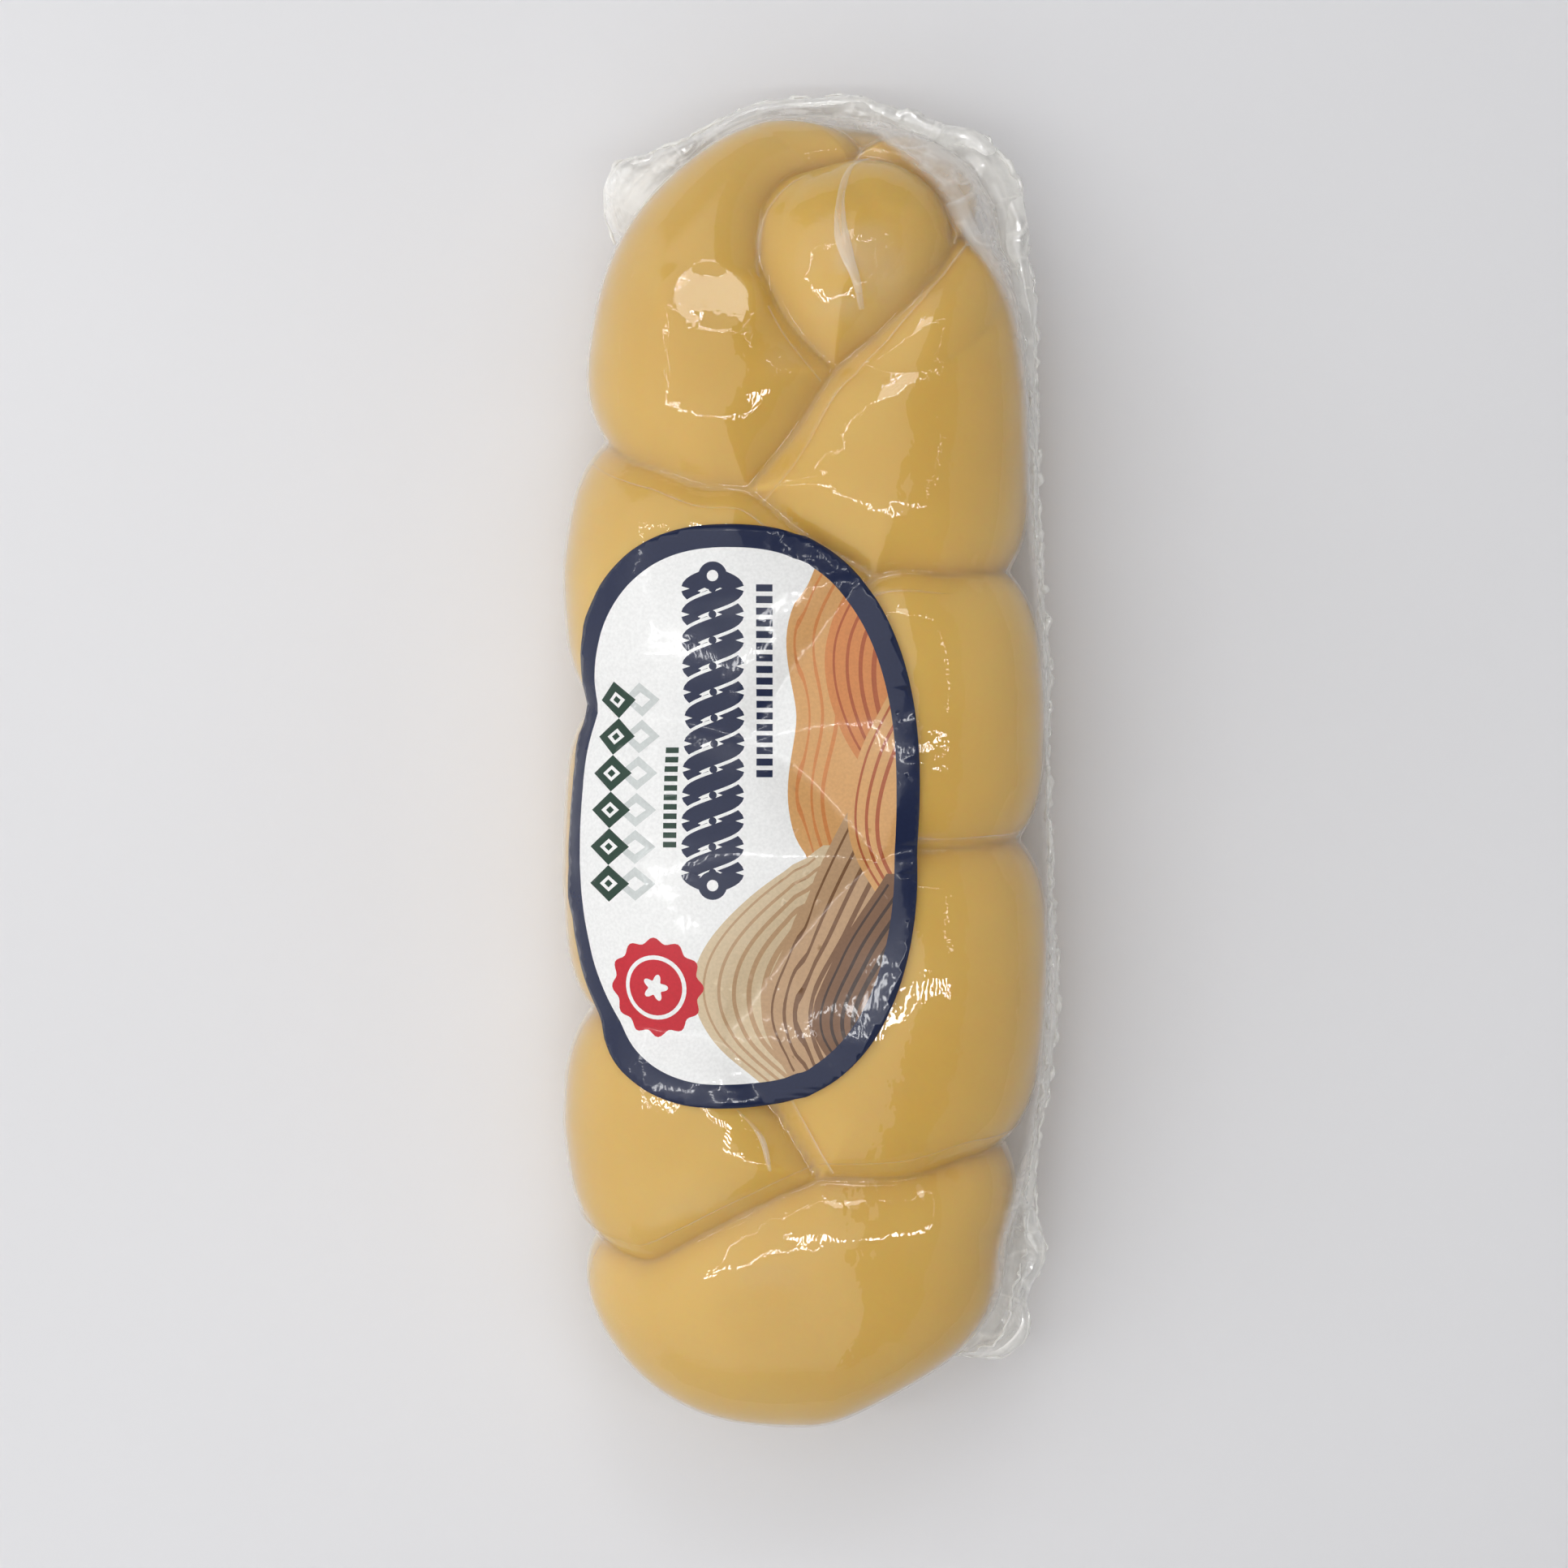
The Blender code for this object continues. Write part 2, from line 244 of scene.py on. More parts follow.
@dataclasses.dataclass
class BraidForm:
    """The loaf that the three strands make, as the CAD solid has it."""

    half_length: float = 95.0
    half_height: float = 23.4
    underside_cut: float = 1.8
    plan_end_power: float = 3.0
    side_end_power: float = 2.9
    section_power: float = 2.9
    left_stations: Stations = (
        (-95, 38),
        (-80, 40),
        (-57, 36.8),
        (-15, 34.2),
        (35, 34.4),
        (62, 32.6),
        (80, 30),
        (95, 22),
    )
    right_stations: Stations = (
        (-95, 16),
        (-85, 33),
        (-66, 35.6),
        (-28, 36.4),
        (15, 35.6),
        (45, 34.8),
        (66, 36.8),
        (76, 38),
        (84, 40.6),
        (90, 41.8),
        (95, 41),
    )
    underside_run: Stations = ((22, 0.06), (11, 0.14), (0, 0.74), (-9.5, 1.0))
    seam_depth: float = 3.8
    seam_reach: float = 10.0
    hollow_depth: float = 2.0  # of the wide hollow that rounds the lobes towards each seam
    hollow_reach: float = 24.0
    seam_step: float = 0.3

    def __post_init__(self) -> None:
        """Lays out the seams in space, and a search tree over their points."""
        self.seam_lines = [self.seam_line(seam) for seam in SEAMS]
        points = np.vstack(self.seam_lines)
        self.tree = kdtree.KDTree(len(points))
        for i, point in enumerate(points):
            self.tree.insert(point, i)
        self.tree.balance()

    @property
    def mid_z(self) -> float:
        """The height of the loaf's middle above what it rests on."""
        return self.half_height - self.underside_cut

    def end_rounding(self, y: Array, power: float) -> Array:
        """The share of the full width or height that is left at y."""
        return np.maximum(0.0, 1.0 - np.abs(y / self.half_length) ** power) ** (1.0 / power)

    def half_width(self, y: Array, side: Array) -> Array:
        """The loaf's half width at y, where side is positive for +X and negative for -X."""
        y = np.asarray(y, float)
        width = np.where(
            np.asarray(side) > 0,
            smooth_value(self.right_stations, y),
            smooth_value(self.left_stations, y),
        )
        return width * self.end_rounding(y, self.plan_end_power)

    def loaf(self, turn: Array, y: Array) -> Array:
        """Points on the loaf round its own middle.

        Args:
            turn: 0 on its top, 1 on the +X side, -1 on the -X side, 2 or -2 below.
            y: places along it, in a shape that matches turn's.

        Returns:
            Points with z measured from the loaf's middle.
        """
        angle = np.asarray(turn, float) * math.pi / 2
        x = signed_power(np.sin(angle), 2 / self.section_power) * self.half_width(y, np.sin(angle))
        height = self.half_height * self.end_rounding(y, self.side_end_power)
        z = signed_power(np.cos(angle), 2 / self.section_power) * height
        return np.stack([x, np.broadcast_to(y, x.shape), z], axis=-1)

    def even_turns(self, sides: int) -> Array:
        """As many turns, all the way round, as put a section's points at even distances."""
        fine = np.linspace(0, 4, 40 * sides + 1)
        section = self.loaf(fine, np.zeros_like(fine))
        steps = np.hypot(np.diff(section[:, 0]), np.diff(section[:, 2]))
        arc = np.concatenate([[0], np.cumsum(steps)])
        return np.interp(np.arange(sides) / sides * arc[-1], arc, fine)

    def turn_on_top(self, x: Array, y: Array) -> Array:
        """The turns at which the top of the loaf lies at each x and y."""
        share = np.minimum(1.0, np.abs(x) / self.half_width(y, x))
        return np.copysign(np.arcsin(share ** (self.section_power / 2)) * 2 / math.pi, x)

    def top_height(self, x: Array, y: Array) -> Array:
        """The height of the loaf's top above its middle, and 0 outside its outline."""
        share = np.minimum(1.0, np.abs(x) / np.maximum(self.half_width(y, x), 1e-6))
        height = self.half_height * self.end_rounding(y, self.side_end_power)
        return height * (1 - share**self.section_power) ** (1 / self.section_power)

    def seam_line(self, seam: Seam) -> Array:
        """Points in space along a whole seam, from the top round the side to the underside."""
        top = smooth_path(seam.top, 1.0)
        course = list(zip(self.turn_on_top(top[:, 0], top[:, 1]), top[:, 1]))
        if seam.side:
            below = []
            for x, share in self.underside_run:
                on_top = self.turn_on_top(np.array(seam.side * x), np.array(seam.notch_y))
                turn = 2 * seam.side - float(on_top)
                below.append((turn, seam.notch_y + share * (seam.under_end_y - seam.notch_y)))
            bend = smooth_path([course[-1], (seam.side, seam.notch_y)] + below, 0.05)
            course += [tuple(point) for point in bend[1:]]
        turns, ys = np.array(course).T
        return smooth_path(self.loaf(turns, ys), self.seam_step)

    def patch(self, turns: Array, ys: Array) -> Patch:
        """The loaf at some turns and places, with the seams round each point.

        Args:
            turns: as for loaf.
            ys: as for loaf, in the same shape.

        Returns:
            The points, their outward directions and what lies round them.
        """
        here = self.loaf(turns, ys)
        nudge = 1e-3
        inward = np.where(ys > 0, -1.0, 1.0) * nudge
        around = self.loaf(turns + nudge, ys) - self.loaf(turns - nudge, ys)
        lengthwise = (self.loaf(turns, ys + inward) - here) / inward[..., None]
        outward = unit(np.cross(around, lengthwise))
        rise = self.swell_height(here)
        away, along = self.nearest_seam(here)
        return Patch(here + outward * rise[..., None], outward, away, along)

    def swell_height(self, points: Array) -> Array:
        """How far the swells lift each point on the top of the loaf."""
        total = np.zeros(points.shape[:-1])
        for swell in SWELLS:
            away = plan_distance(points, swell.centre) / swell.radius
            total += swell.rise * np.clip(1.0 - away**2, 0.0, 1.0)
        return np.where(points[..., 2] > 0, total, 0.0)

    def nearest_seam(self, points: Array) -> tuple[Array, Array]:
        """The distance to the nearest seam, and the place along the seams, for each point."""
        flat = points.reshape(-1, 3)
        found = [self.tree.find(point) for point in flat]
        away = np.array([distance for _, _, distance in found]).reshape(points.shape[:-1])
        along = np.array([i for _, i, _ in found], float).reshape(points.shape[:-1])
        return away, along * self.seam_step

    def crease(self, away: Array, crease_radius: float) -> Array:
        """How deep a seam's crease is at each distance from it, with a round shoulder."""
        share = np.clip(1.0 - np.hypot(away, crease_radius) / self.seam_reach, 0.0, 1.0)
        return self.seam_depth * (1.0 - np.sqrt(1.0 - share**2))

    def hollow(self, away: Array) -> Array:
        """How deep the wide hollow round a seam is at each distance from it."""
        return self.hollow_depth * np.clip(1.0 - away / self.hollow_reach, 0.0, 1.0) ** 2

    def groove(self, away: Array, crease_radius: float) -> Array:
        """How deep the crease and the hollow round it are together."""
        return self.crease(away, crease_radius) + self.hollow(away)


# Meshes


def new_piece(name: str, points: Array, faces: Faces, lowest: float = 0.0) -> bpy.types.Object:
    """A smooth-shaded object that rides on the part.

    Args:
        name: the piece's name.
        points: its vertices, in millimetres in the CAD frame.
        faces: its faces as rows of vertex numbers.
        lowest: the height that no vertex goes below.

    Returns:
        The object, linked to the scene.
    """
    points = np.array(points, float).reshape(-1, 3)
    points[:, 2] = np.maximum(points[:, 2], lowest)
    mesh = bpy.data.meshes.new(name)
    mesh.from_pydata((points * MM).tolist(), [], faces)
    mesh.validate()
    mesh.shade_smooth()
    piece = bpy.data.objects.new(name, mesh)
    bpy.context.scene.collection.objects.link(piece)
    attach(piece, BODY)
    LOG.info("%s: %d vertices, %d faces", name, len(mesh.vertices), len(mesh.polygons))
    return piece


def store(piece: bpy.types.Object, name: str, values: Array) -> None:
    """Keeps one number for each vertex of a piece under a name."""
    attribute = piece.data.attributes.new(name, "FLOAT", "POINT")
    attribute.data.foreach_set("value", np.asarray(values, np.float32).ravel())


def ring_faces(rows: int, sides: int) -> Faces:
    """Faces of a closed body of rings, with its two end points after the rings."""
    faces: Faces = []
    for row in range(rows - 1):
        start, above = row * sides, (row + 1) * sides
        for k in range(sides):
            after = (k + 1) % sides
            faces.append((start + k, above + k, above + after, start + after))
    first, last = rows * sides, rows * sides + 1
    for k in range(sides):
        after = (k + 1) % sides
        faces.append((k, after, first))
        faces.append(((rows - 1) * sides + after, (rows - 1) * sides + k, last))
    return faces


def sheet_faces(rows: int, across: int, start: int = 0) -> Faces:
    """Faces of an open sheet of rows of points, numbered from start."""
    faces = []
    for row in range(rows - 1):
        for k in range(across - 1):
            a = start + row * across + k
            faces.append((a, a + across, a + across + 1, a + 1))
    return faces


# Finishes


def feed(tree: bpy.types.NodeTree, socket: bpy.types.NodeSocket, value: object) -> None:
    """Links another node's output to a socket, or sets the socket to a value."""
    if isinstance(value, bpy.types.NodeSocket):
        tree.links.new(value, socket)
    else:
        socket.default_value = value


class Nodes:
    """A material's node tree, built one node at a time."""

    def __init__(self, name: str) -> None:
        """Starts an empty tree with an output."""
        self.material = bpy.data.materials.new(name)
        self.material.use_nodes = True
        self.tree = self.material.node_tree
        self.tree.nodes.clear()
        self.output = self.tree.nodes.new("ShaderNodeOutputMaterial")

    def add(
        self, kind: str, inputs: dict[str | int, object] | None = None, **settings: object
    ) -> bpy.types.Node:
        """Adds a node.

        Args:
            kind: the node's type without its ShaderNode prefix.
            inputs: for each input, by name or number, a value or another node's output.
            settings: the node's own properties.

        Returns:
            The node.
        """
        node = self.tree.nodes.new("ShaderNode" + kind)
        for key, value in settings.items():
            setattr(node, key, value)
        for key, value in (inputs or {}).items():
            feed(self.tree, node.inputs[key], value)
        return node

    def maths(self, operation: str, a: object, b: object = 0.0) -> bpy.types.NodeSocket:
        """The result of a Math node."""
        return self.add("Math", {0: a, 1: b}, operation=operation).outputs[0]

    def noise(self, scale: float, detail: float = 2.0, roughness: float = 0.5) -> bpy.types.NodeSocket:
        """Noise over the object's own coordinates, in metres, as a value."""
        where = self.add("TexCoord").outputs["Object"]
        inputs = {"Vector": where, "Scale": scale, "Detail": detail, "Roughness": roughness}
        return self.add("TexNoise", inputs).outputs[0]

    def ramp(
        self, value: bpy.types.NodeSocket, low: float, high: float, start: float, end: float
    ) -> bpy.types.NodeSocket:
        """A value taken from one range to another, held at the ends."""
        inputs = {"Value": value, "From Min": low, "From Max": high, "To Min": start, "To Max": end}
        return self.add("MapRange", inputs).outputs[0]

    def blend(self, factor: object, a: object, b: object) -> bpy.types.NodeSocket:
        """Two colours mixed by a factor."""
        node = self.add("Mix", data_type="RGBA")
        for number, value in ((0, factor), (6, a), (7, b)):
            feed(self.tree, node.inputs[number], value)
        return node.outputs[2]

    def attribute(self, name: str) -> bpy.types.NodeSocket:
        """The value that store kept under this name."""
        return self.add("Attribute", attribute_name=name).outputs["Fac"]

    def finish(self, shader: bpy.types.NodeSocket) -> bpy.types.Material:
        """Links the shader to the output."""
        self.tree.links.new(shader, self.output.inputs["Surface"])
        return self.material


def solid_colour(colour: Colour) -> tuple[float, float, float, float]:
    """A colour with full alpha."""
    return (*colour, 1.0)


@dataclasses.dataclass(frozen=True)
class CheeseFinish:
    """Close, waxy paste with a faint smoke-cured tint: light enters it and comes out yellow. It is painted
    darker near the seams, as painted shade in the creases.
    """

    pale: Colour = (0.72, 0.47, 0.105)
    # painted shade: the darker colour that the paste is given in the creases near the seams
    deep: Colour = (0.665, 0.41, 0.075)
    crease_shade: Colour = (0.48, 0.25, 0.05)
    roughness: float = 0.38
    depth_m: float = 0.0035

    def material(self) -> bpy.types.Material:
        """The cheese material."""
        nodes = Nodes("smoked_paste")
        cloud = nodes.ramp(nodes.noise(28.0, 3.0), 0.35, 0.68, 0.0, 1.0)
        colour = nodes.blend(cloud, solid_colour(self.pale), solid_colour(self.deep))
        # painted shade in the creases: the paste is blended towards the darker colour near each seam
        nearness = nodes.attribute("seam_nearness")
        crease_shading = nodes.maths("MULTIPLY", nearness, nodes.ramp(nodes.noise(90.0, 2.0), 0.3, 0.7, 0.45, 0.85))
        colour = nodes.blend(crease_shading, colour, solid_colour(self.crease_shade))
        bump = nodes.add("Bump", {"Strength": 0.12, "Distance": 0.0006, "Height": nodes.noise(420.0, 3.0)})
        shader = nodes.add(
            "BsdfPrincipled",
            {
                "Base Color": colour,
                "Roughness": self.roughness,
                "Specular IOR Level": 0.15,
                "Subsurface Weight": 0.6,
                "Subsurface Radius": (1.0, 0.55, 0.18),
                "Subsurface Scale": self.depth_m,
                "Normal": bump.outputs[0],
            },
        )
        return nodes.finish(shader.outputs[0])


@dataclasses.dataclass(frozen=True)
class FilmFinish:
    """Clear shrink film: it mirrors a little, more at a slant, and goes milky where creased."""

    name: str
    facing_mirror: float = 0.044
    roughness: float = 0.028
    milky: Colour = (0.97, 0.96, 0.93)
    bump_scale: float = 200.0
    bump_strength: float = 0.2
    milk_relief: float = 0.0  # how strongly the milky creases catch the light
    fades: bool = False  # whether it fades out where its presence does

    def material(self) -> bpy.types.Material:
        """The film material, see-through apart from its mirror and its haze."""
        nodes = Nodes(self.name)
        patches = nodes.ramp(nodes.noise(55.0, 1.0), 0.45, 0.62, 0.5, 1.8)
        ripple = nodes.maths("MULTIPLY", nodes.noise(self.bump_scale, 3.0, 0.62), patches)
        ripples = {"Strength": self.bump_strength, "Distance": 0.0004, "Height": ripple}
        bump = nodes.add("Bump", ripples).outputs[0]
        facing = nodes.add("LayerWeight", {"Blend": 0.5, "Normal": bump}).outputs["Facing"]
        slant = nodes.maths("POWER", facing, 5.0)
        mirror = nodes.ramp(slant, 0.0, 1.0, self.facing_mirror, 0.9)
        polish = {"Color": (1, 1, 1, 1), "Roughness": self.roughness, "Normal": bump}
        gloss = nodes.add("BsdfAnisotropic", polish).outputs[0]
        clear = nodes.add("BsdfTransparent").outputs[0]
        film = nodes.add("MixShader", {0: mirror, 1: clear, 2: gloss}).outputs[0]
        crumbs = {"Strength": self.milk_relief, "Distance": 0.0006, "Height": nodes.noise(700.0, 2.0, 0.6)}
        relief = nodes.add("Bump", crumbs).outputs[0]
        front = nodes.add("BsdfDiffuse", {"Color": solid_colour(self.milky), "Normal": relief}).outputs[0]
        through = nodes.add("BsdfTranslucent", {"Color": solid_colour(self.milky)}).outputs[0]
        milk = nodes.add("MixShader", {0: 0.22, 1: front, 2: through}).outputs[0]
        # haze mixes in the milky layer; on the tight film it also carries painted sheen on the steep flanks
        both = nodes.add("MixShader", {0: nodes.attribute("haze"), 1: film, 2: milk}).outputs[0]
        if self.fades:
            both = nodes.add("MixShader", {0: nodes.attribute("presence"), 1: clear, 2: both}).outputs[0]
        return nodes.finish(both)


class Ink(enum.Enum):
    """The label's printed colours, in linear values."""

    NAVY = (0.012, 0.019, 0.058)
    WHITE = (0.88, 0.88, 0.87)
    GREEN = (0.012, 0.045, 0.028)
    GHOST = (0.60, 0.63, 0.62)
    RED = (0.56, 0.012, 0.026)
    ORANGE = (0.62, 0.235, 0.075)
    AMBER = (0.66, 0.36, 0.14)
    RUST = (0.40, 0.10, 0.035)
    TAN = (0.50, 0.32, 0.18)
    SAND = (0.66, 0.52, 0.34)
    BROWN = (0.20, 0.10, 0.05)
    UMBER = (0.055, 0.03, 0.022)


@dataclasses.dataclass(frozen=True)
class LabelFinish:
    """Coated label stock: printed colours under a smooth varnish."""

    roughness: float = 0.26
    grain: float = 0.06

    def material(self) -> bpy.types.Material:
        """The label material, which reads each face's ink."""
        nodes = Nodes("printed_label")
        ink = nodes.add("Attribute", attribute_name="ink").outputs["Color"]
        grain = nodes.ramp(nodes.noise(2400.0, 1.0), 0.3, 0.7, 1 - self.grain, 1 + self.grain / 2)
        speckled = nodes.add("VectorMath", {0: ink, 1: grain}, operation="MULTIPLY").outputs[0]
        wrinkle = nodes.noise(160.0, 3.0, 0.6)
        bump = nodes.add("Bump", {"Strength": 0.16, "Distance": 0.0005, "Height": wrinkle}).outputs[0]
        shader = nodes.add(
            "BsdfPrincipled",
            {
                "Base Color": speckled,
                "Roughness": self.roughness,
                "Specular IOR Level": 0.25,
                "Coat Weight": 0.5,
                "Coat Roughness": 0.05,
                "Normal": bump,
                "Coat Normal": bump,
            },
        )
        return nodes.finish(shader.outputs[0])


@dataclasses.dataclass(frozen=True)
class FloorFinish:
    """A plain pale board."""

    colour: Colour = (0.80, 0.80, 0.82)

    def material(self) -> bpy.types.Material:
        """The floor material."""
        nodes = Nodes("pale_board")
        tone = nodes.ramp(nodes.noise(6.0, 2.0), 0.3, 0.7, 0.98, 1.02)
        colour = nodes.add("VectorMath", {0: solid_colour(self.colour)[:3], 1: tone}, operation="MULTIPLY")
        inputs = {"Base Color": colour.outputs[0], "Roughness": 0.85, "Specular IOR Level": 0.2}
        return nodes.finish(nodes.add("BsdfPrincipled", inputs).outputs[0])


# The cheese and the film that is tight on it


@dataclasses.dataclass(frozen=True)
class Facet:
    """A place on the top where the film has pressed the cheese flat."""

    centre: Place
    half_size: Place


FACETS = (Facet((-12.6, 66.4), (7.4, 4.5)),)


@dataclasses.dataclass(frozen=True)
class Pucker:
    """A place on the top where the film is finely wrinkled, and may be milky too."""

    centre: Place
    radius: float
    height: float
    haze: float = 0.0

    def window(self, points: Array) -> Array:
        """One in its middle, falling to zero round it, and zero on the underside."""
        off = plan_distance(points, self.centre) / self.radius
        return np.where(points[..., 2] > 0, np.exp(-(off**2)), 0.0)


PUCKERS = (
    Pucker((15.0, 57.1), 2.5, 0.04),
    Pucker((3.7, 40.5), 5.0, 0.18),
    Pucker((13.0, 38.0), 5.0, 0.12),
    Pucker((-2.7, 57.1), 3.0, 0.16, 0.06),
    Pucker((11.2, -46.7), 4.5, 0.14, 0.03),
    Pucker((-4.3, -69.0), 7.0, 0.12, 0.05),
    Pucker((8.0, -66.0), 6.0, 0.1),
    Pucker((-14.3, -63.8), 6.0, 0.08, 0.05),
    Pucker((8.3, 70.0), 6.5, 0.09, 0.2),
    Pucker((-11.8, 50.5), 8.0, 0.06),
    Pucker((17.0, 12.0), 5.0, 0.07),
)


@dataclasses.dataclass
class Braid:
    """The cheese itself, and the tight film, both laid on one fine grid of the loaf."""

    form: BraidForm
    rows: int = 410
    sides: int = 230
    cheese_crease: float = 0.35
    film_crease: float = 0.8
    dent: float = 0.16
    dent_cell: float = 17.0
    pressed_height: float = 22.5  # above the loaf's middle, where the tops are pressed flatter
    pressed_edge: float = 0.45
    film_gap: float = 0.3
    ripple: float = 0.05
    pleat: float = 0.2
    pleat_reach: float = 6.0
    blister: float = 0.5

    def __post_init__(self) -> None:
        """Lays out the grid and reads the seams round it."""
        turns = self.form.even_turns(self.sides)
        ys = self.form.half_length * np.sin(np.linspace(-0.5, 0.5, self.rows + 2)[1:-1] * math.pi)
        across, lengthwise = np.meshgrid(turns, ys)
        self.grid = self.form.patch(across, lengthwise)
        self.dents = self.dent * lattice_noise(self.grid.points, self.dent_cell, 3)
        over = (self.grid.points[..., 2] - self.pressed_height) / self.pressed_edge
        self.dents -= 0.8 * self.pressed_edge * np.logaddexp(0, over)
        self.taut = np.ones_like(self.dents)  # 0 on a facet, 1 elsewhere
        for facet in FACETS:
            window = self.facet_window(facet)
            self.dents += self.flattening(window)
            self.taut *= 1 - window

    def facet_window(self, facet: Facet) -> Array:
        """Near 1 on a facet, with rounded corners, and 0 outside it."""
        off = np.abs(self.grid.points[..., :2] - facet.centre) / facet.half_size
        size = (off**3.0).sum(axis=-1) ** (1 / 3.0)
        return np.where(self.grid.points[..., 2] > 0, np.exp(-(size**8)), 0.0)

    def flattening(self, window: Array) -> Array:
        """How far a facet moves the surface, outwards, to lie in one plane."""
        grid = self.grid
        lift = self.dents - self.form.groove(grid.away, self.film_crease)
        surface = grid.points + grid.outward * lift[..., None]
        x, y, z = np.moveaxis(surface, -1, 0)
        inside = window > 0.5
        terms = np.stack([np.ones(inside.sum()), x[inside], y[inside]], axis=-1)
        base, slope_x, slope_y = np.linalg.lstsq(terms, z[inside], rcond=None)[0]
        return window * (base + slope_x * x + slope_y * y - z) * grid.outward[..., 2]

    def surface(self, lift: Array) -> Array:
        """All the vertices of a closed skin that stands off the loaf by lift, end points last."""
        lift = np.broadcast_to(lift, self.grid.away.shape)
        points = self.grid.points + self.grid.outward * lift[..., None]
        ends = np.array([(0, -self.form.half_length, 0), (0, self.form.half_length, 0)], float)
        ends[:, 1] += np.array([-lift[0].mean(), lift[-1].mean()])
        return np.vstack([points.reshape(-1, 3), ends]) + (0, 0, self.form.mid_z)

    def build_cheese(self) -> bpy.types.Object:
        """The cheese, which stands for the CAD braid."""
        depth = self.form.groove(self.grid.away, self.cheese_crease)
        points = self.surface(self.dents - depth)
        piece = new_piece("cheese_paste", points, ring_faces(self.rows, self.sides), self.film_gap)
        # how near each point is to a seam, which the material turns into painted shade in the creases
        nearness = np.exp(-self.grid.away / 1.0).ravel()
        store(piece, "seam_nearness", np.append(nearness, (0, 0)))
        piece.data.materials.append(CheeseFinish().material())
        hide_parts("cheese_braid")
        return piece

    def film_relief(self) -> Array:
        """Ripples all over the film, and pleats that run away from the seams."""
        grid = self.grid
        fine = np.clip(2.0 * lattice_noise(grid.points, 16.0, 13) - 0.2, 0.1, 1)
        ripples = 1.7 * lattice_noise(grid.points, 11.0, 11) + 0.4 * lattice_noise(grid.points, 3.6, 12)
        small = 0.9 * lattice_noise(grid.points, 3.2, 14) + 0.5 * lattice_noise(grid.points, 1.7, 15)
        ripples += fine * small
        place = np.stack([grid.along, np.zeros_like(grid.along)], axis=-1)
        bunches = np.clip(lattice_noise(place, 13.0, 21) * 1.6, 0, 1)
        pleats = lattice_noise(place, 1.9, 22) * bunches * np.exp(-((grid.away / self.pleat_reach) ** 2))
        fade = np.clip(grid.away / 1.5, 0, 1)
        blisters = np.clip(lattice_noise(grid.points, 5.5, 23) - 0.55, 0, 1) ** 1.5
        relief = self.ripple * ripples + (self.pleat * pleats + self.blister * blisters) * fade
        wrinkled = lattice_noise(grid.points, 1.9, 24) + 0.6 * np.abs(lattice_noise(grid.points, 2.7, 25))
        for pucker in PUCKERS:
            relief += pucker.height * pucker.window(grid.points) * wrinkled
        return relief * self.taut

    def build_film(self) -> bpy.types.Object:
        """The tight film, a little clear of the cheese and rounder in the creases."""
        depth = self.form.groove(self.grid.away, self.film_crease)
        relief = self.film_relief()
        points = self.surface(self.film_gap + self.dents + relief - depth)
        piece = new_piece("film_tight", points, ring_faces(self.rows, self.sides), self.film_gap / 6)
        cloud = 0.5 + 0.5 * lattice_noise(self.grid.points, 7.0, 31)
        haze = 0.015 + 0.05 * cloud * np.exp(-self.grid.away / 2.5)
        # painted sheen: the film is made milkier on steep flanks, standing in for its brighter reflection at
        # a slant
        steepness = np.clip(1 - np.abs(self.grid.outward[..., 2]), 0, 1)
        haze += 0.2 * steepness**0.8 + 0.2 * steepness**3
        scuffs = np.clip(0.6 + 0.8 * lattice_noise(self.grid.points, 3.4, 32), 0, 1)
        for pucker in PUCKERS:
            haze += pucker.haze * pucker.window(self.grid.points) * scuffs
        store(piece, "haze", np.append(haze.ravel(), (0.02, 0.02)))
        piece.data.materials.append(FilmFinish("shrunk_film").material())
        return piece


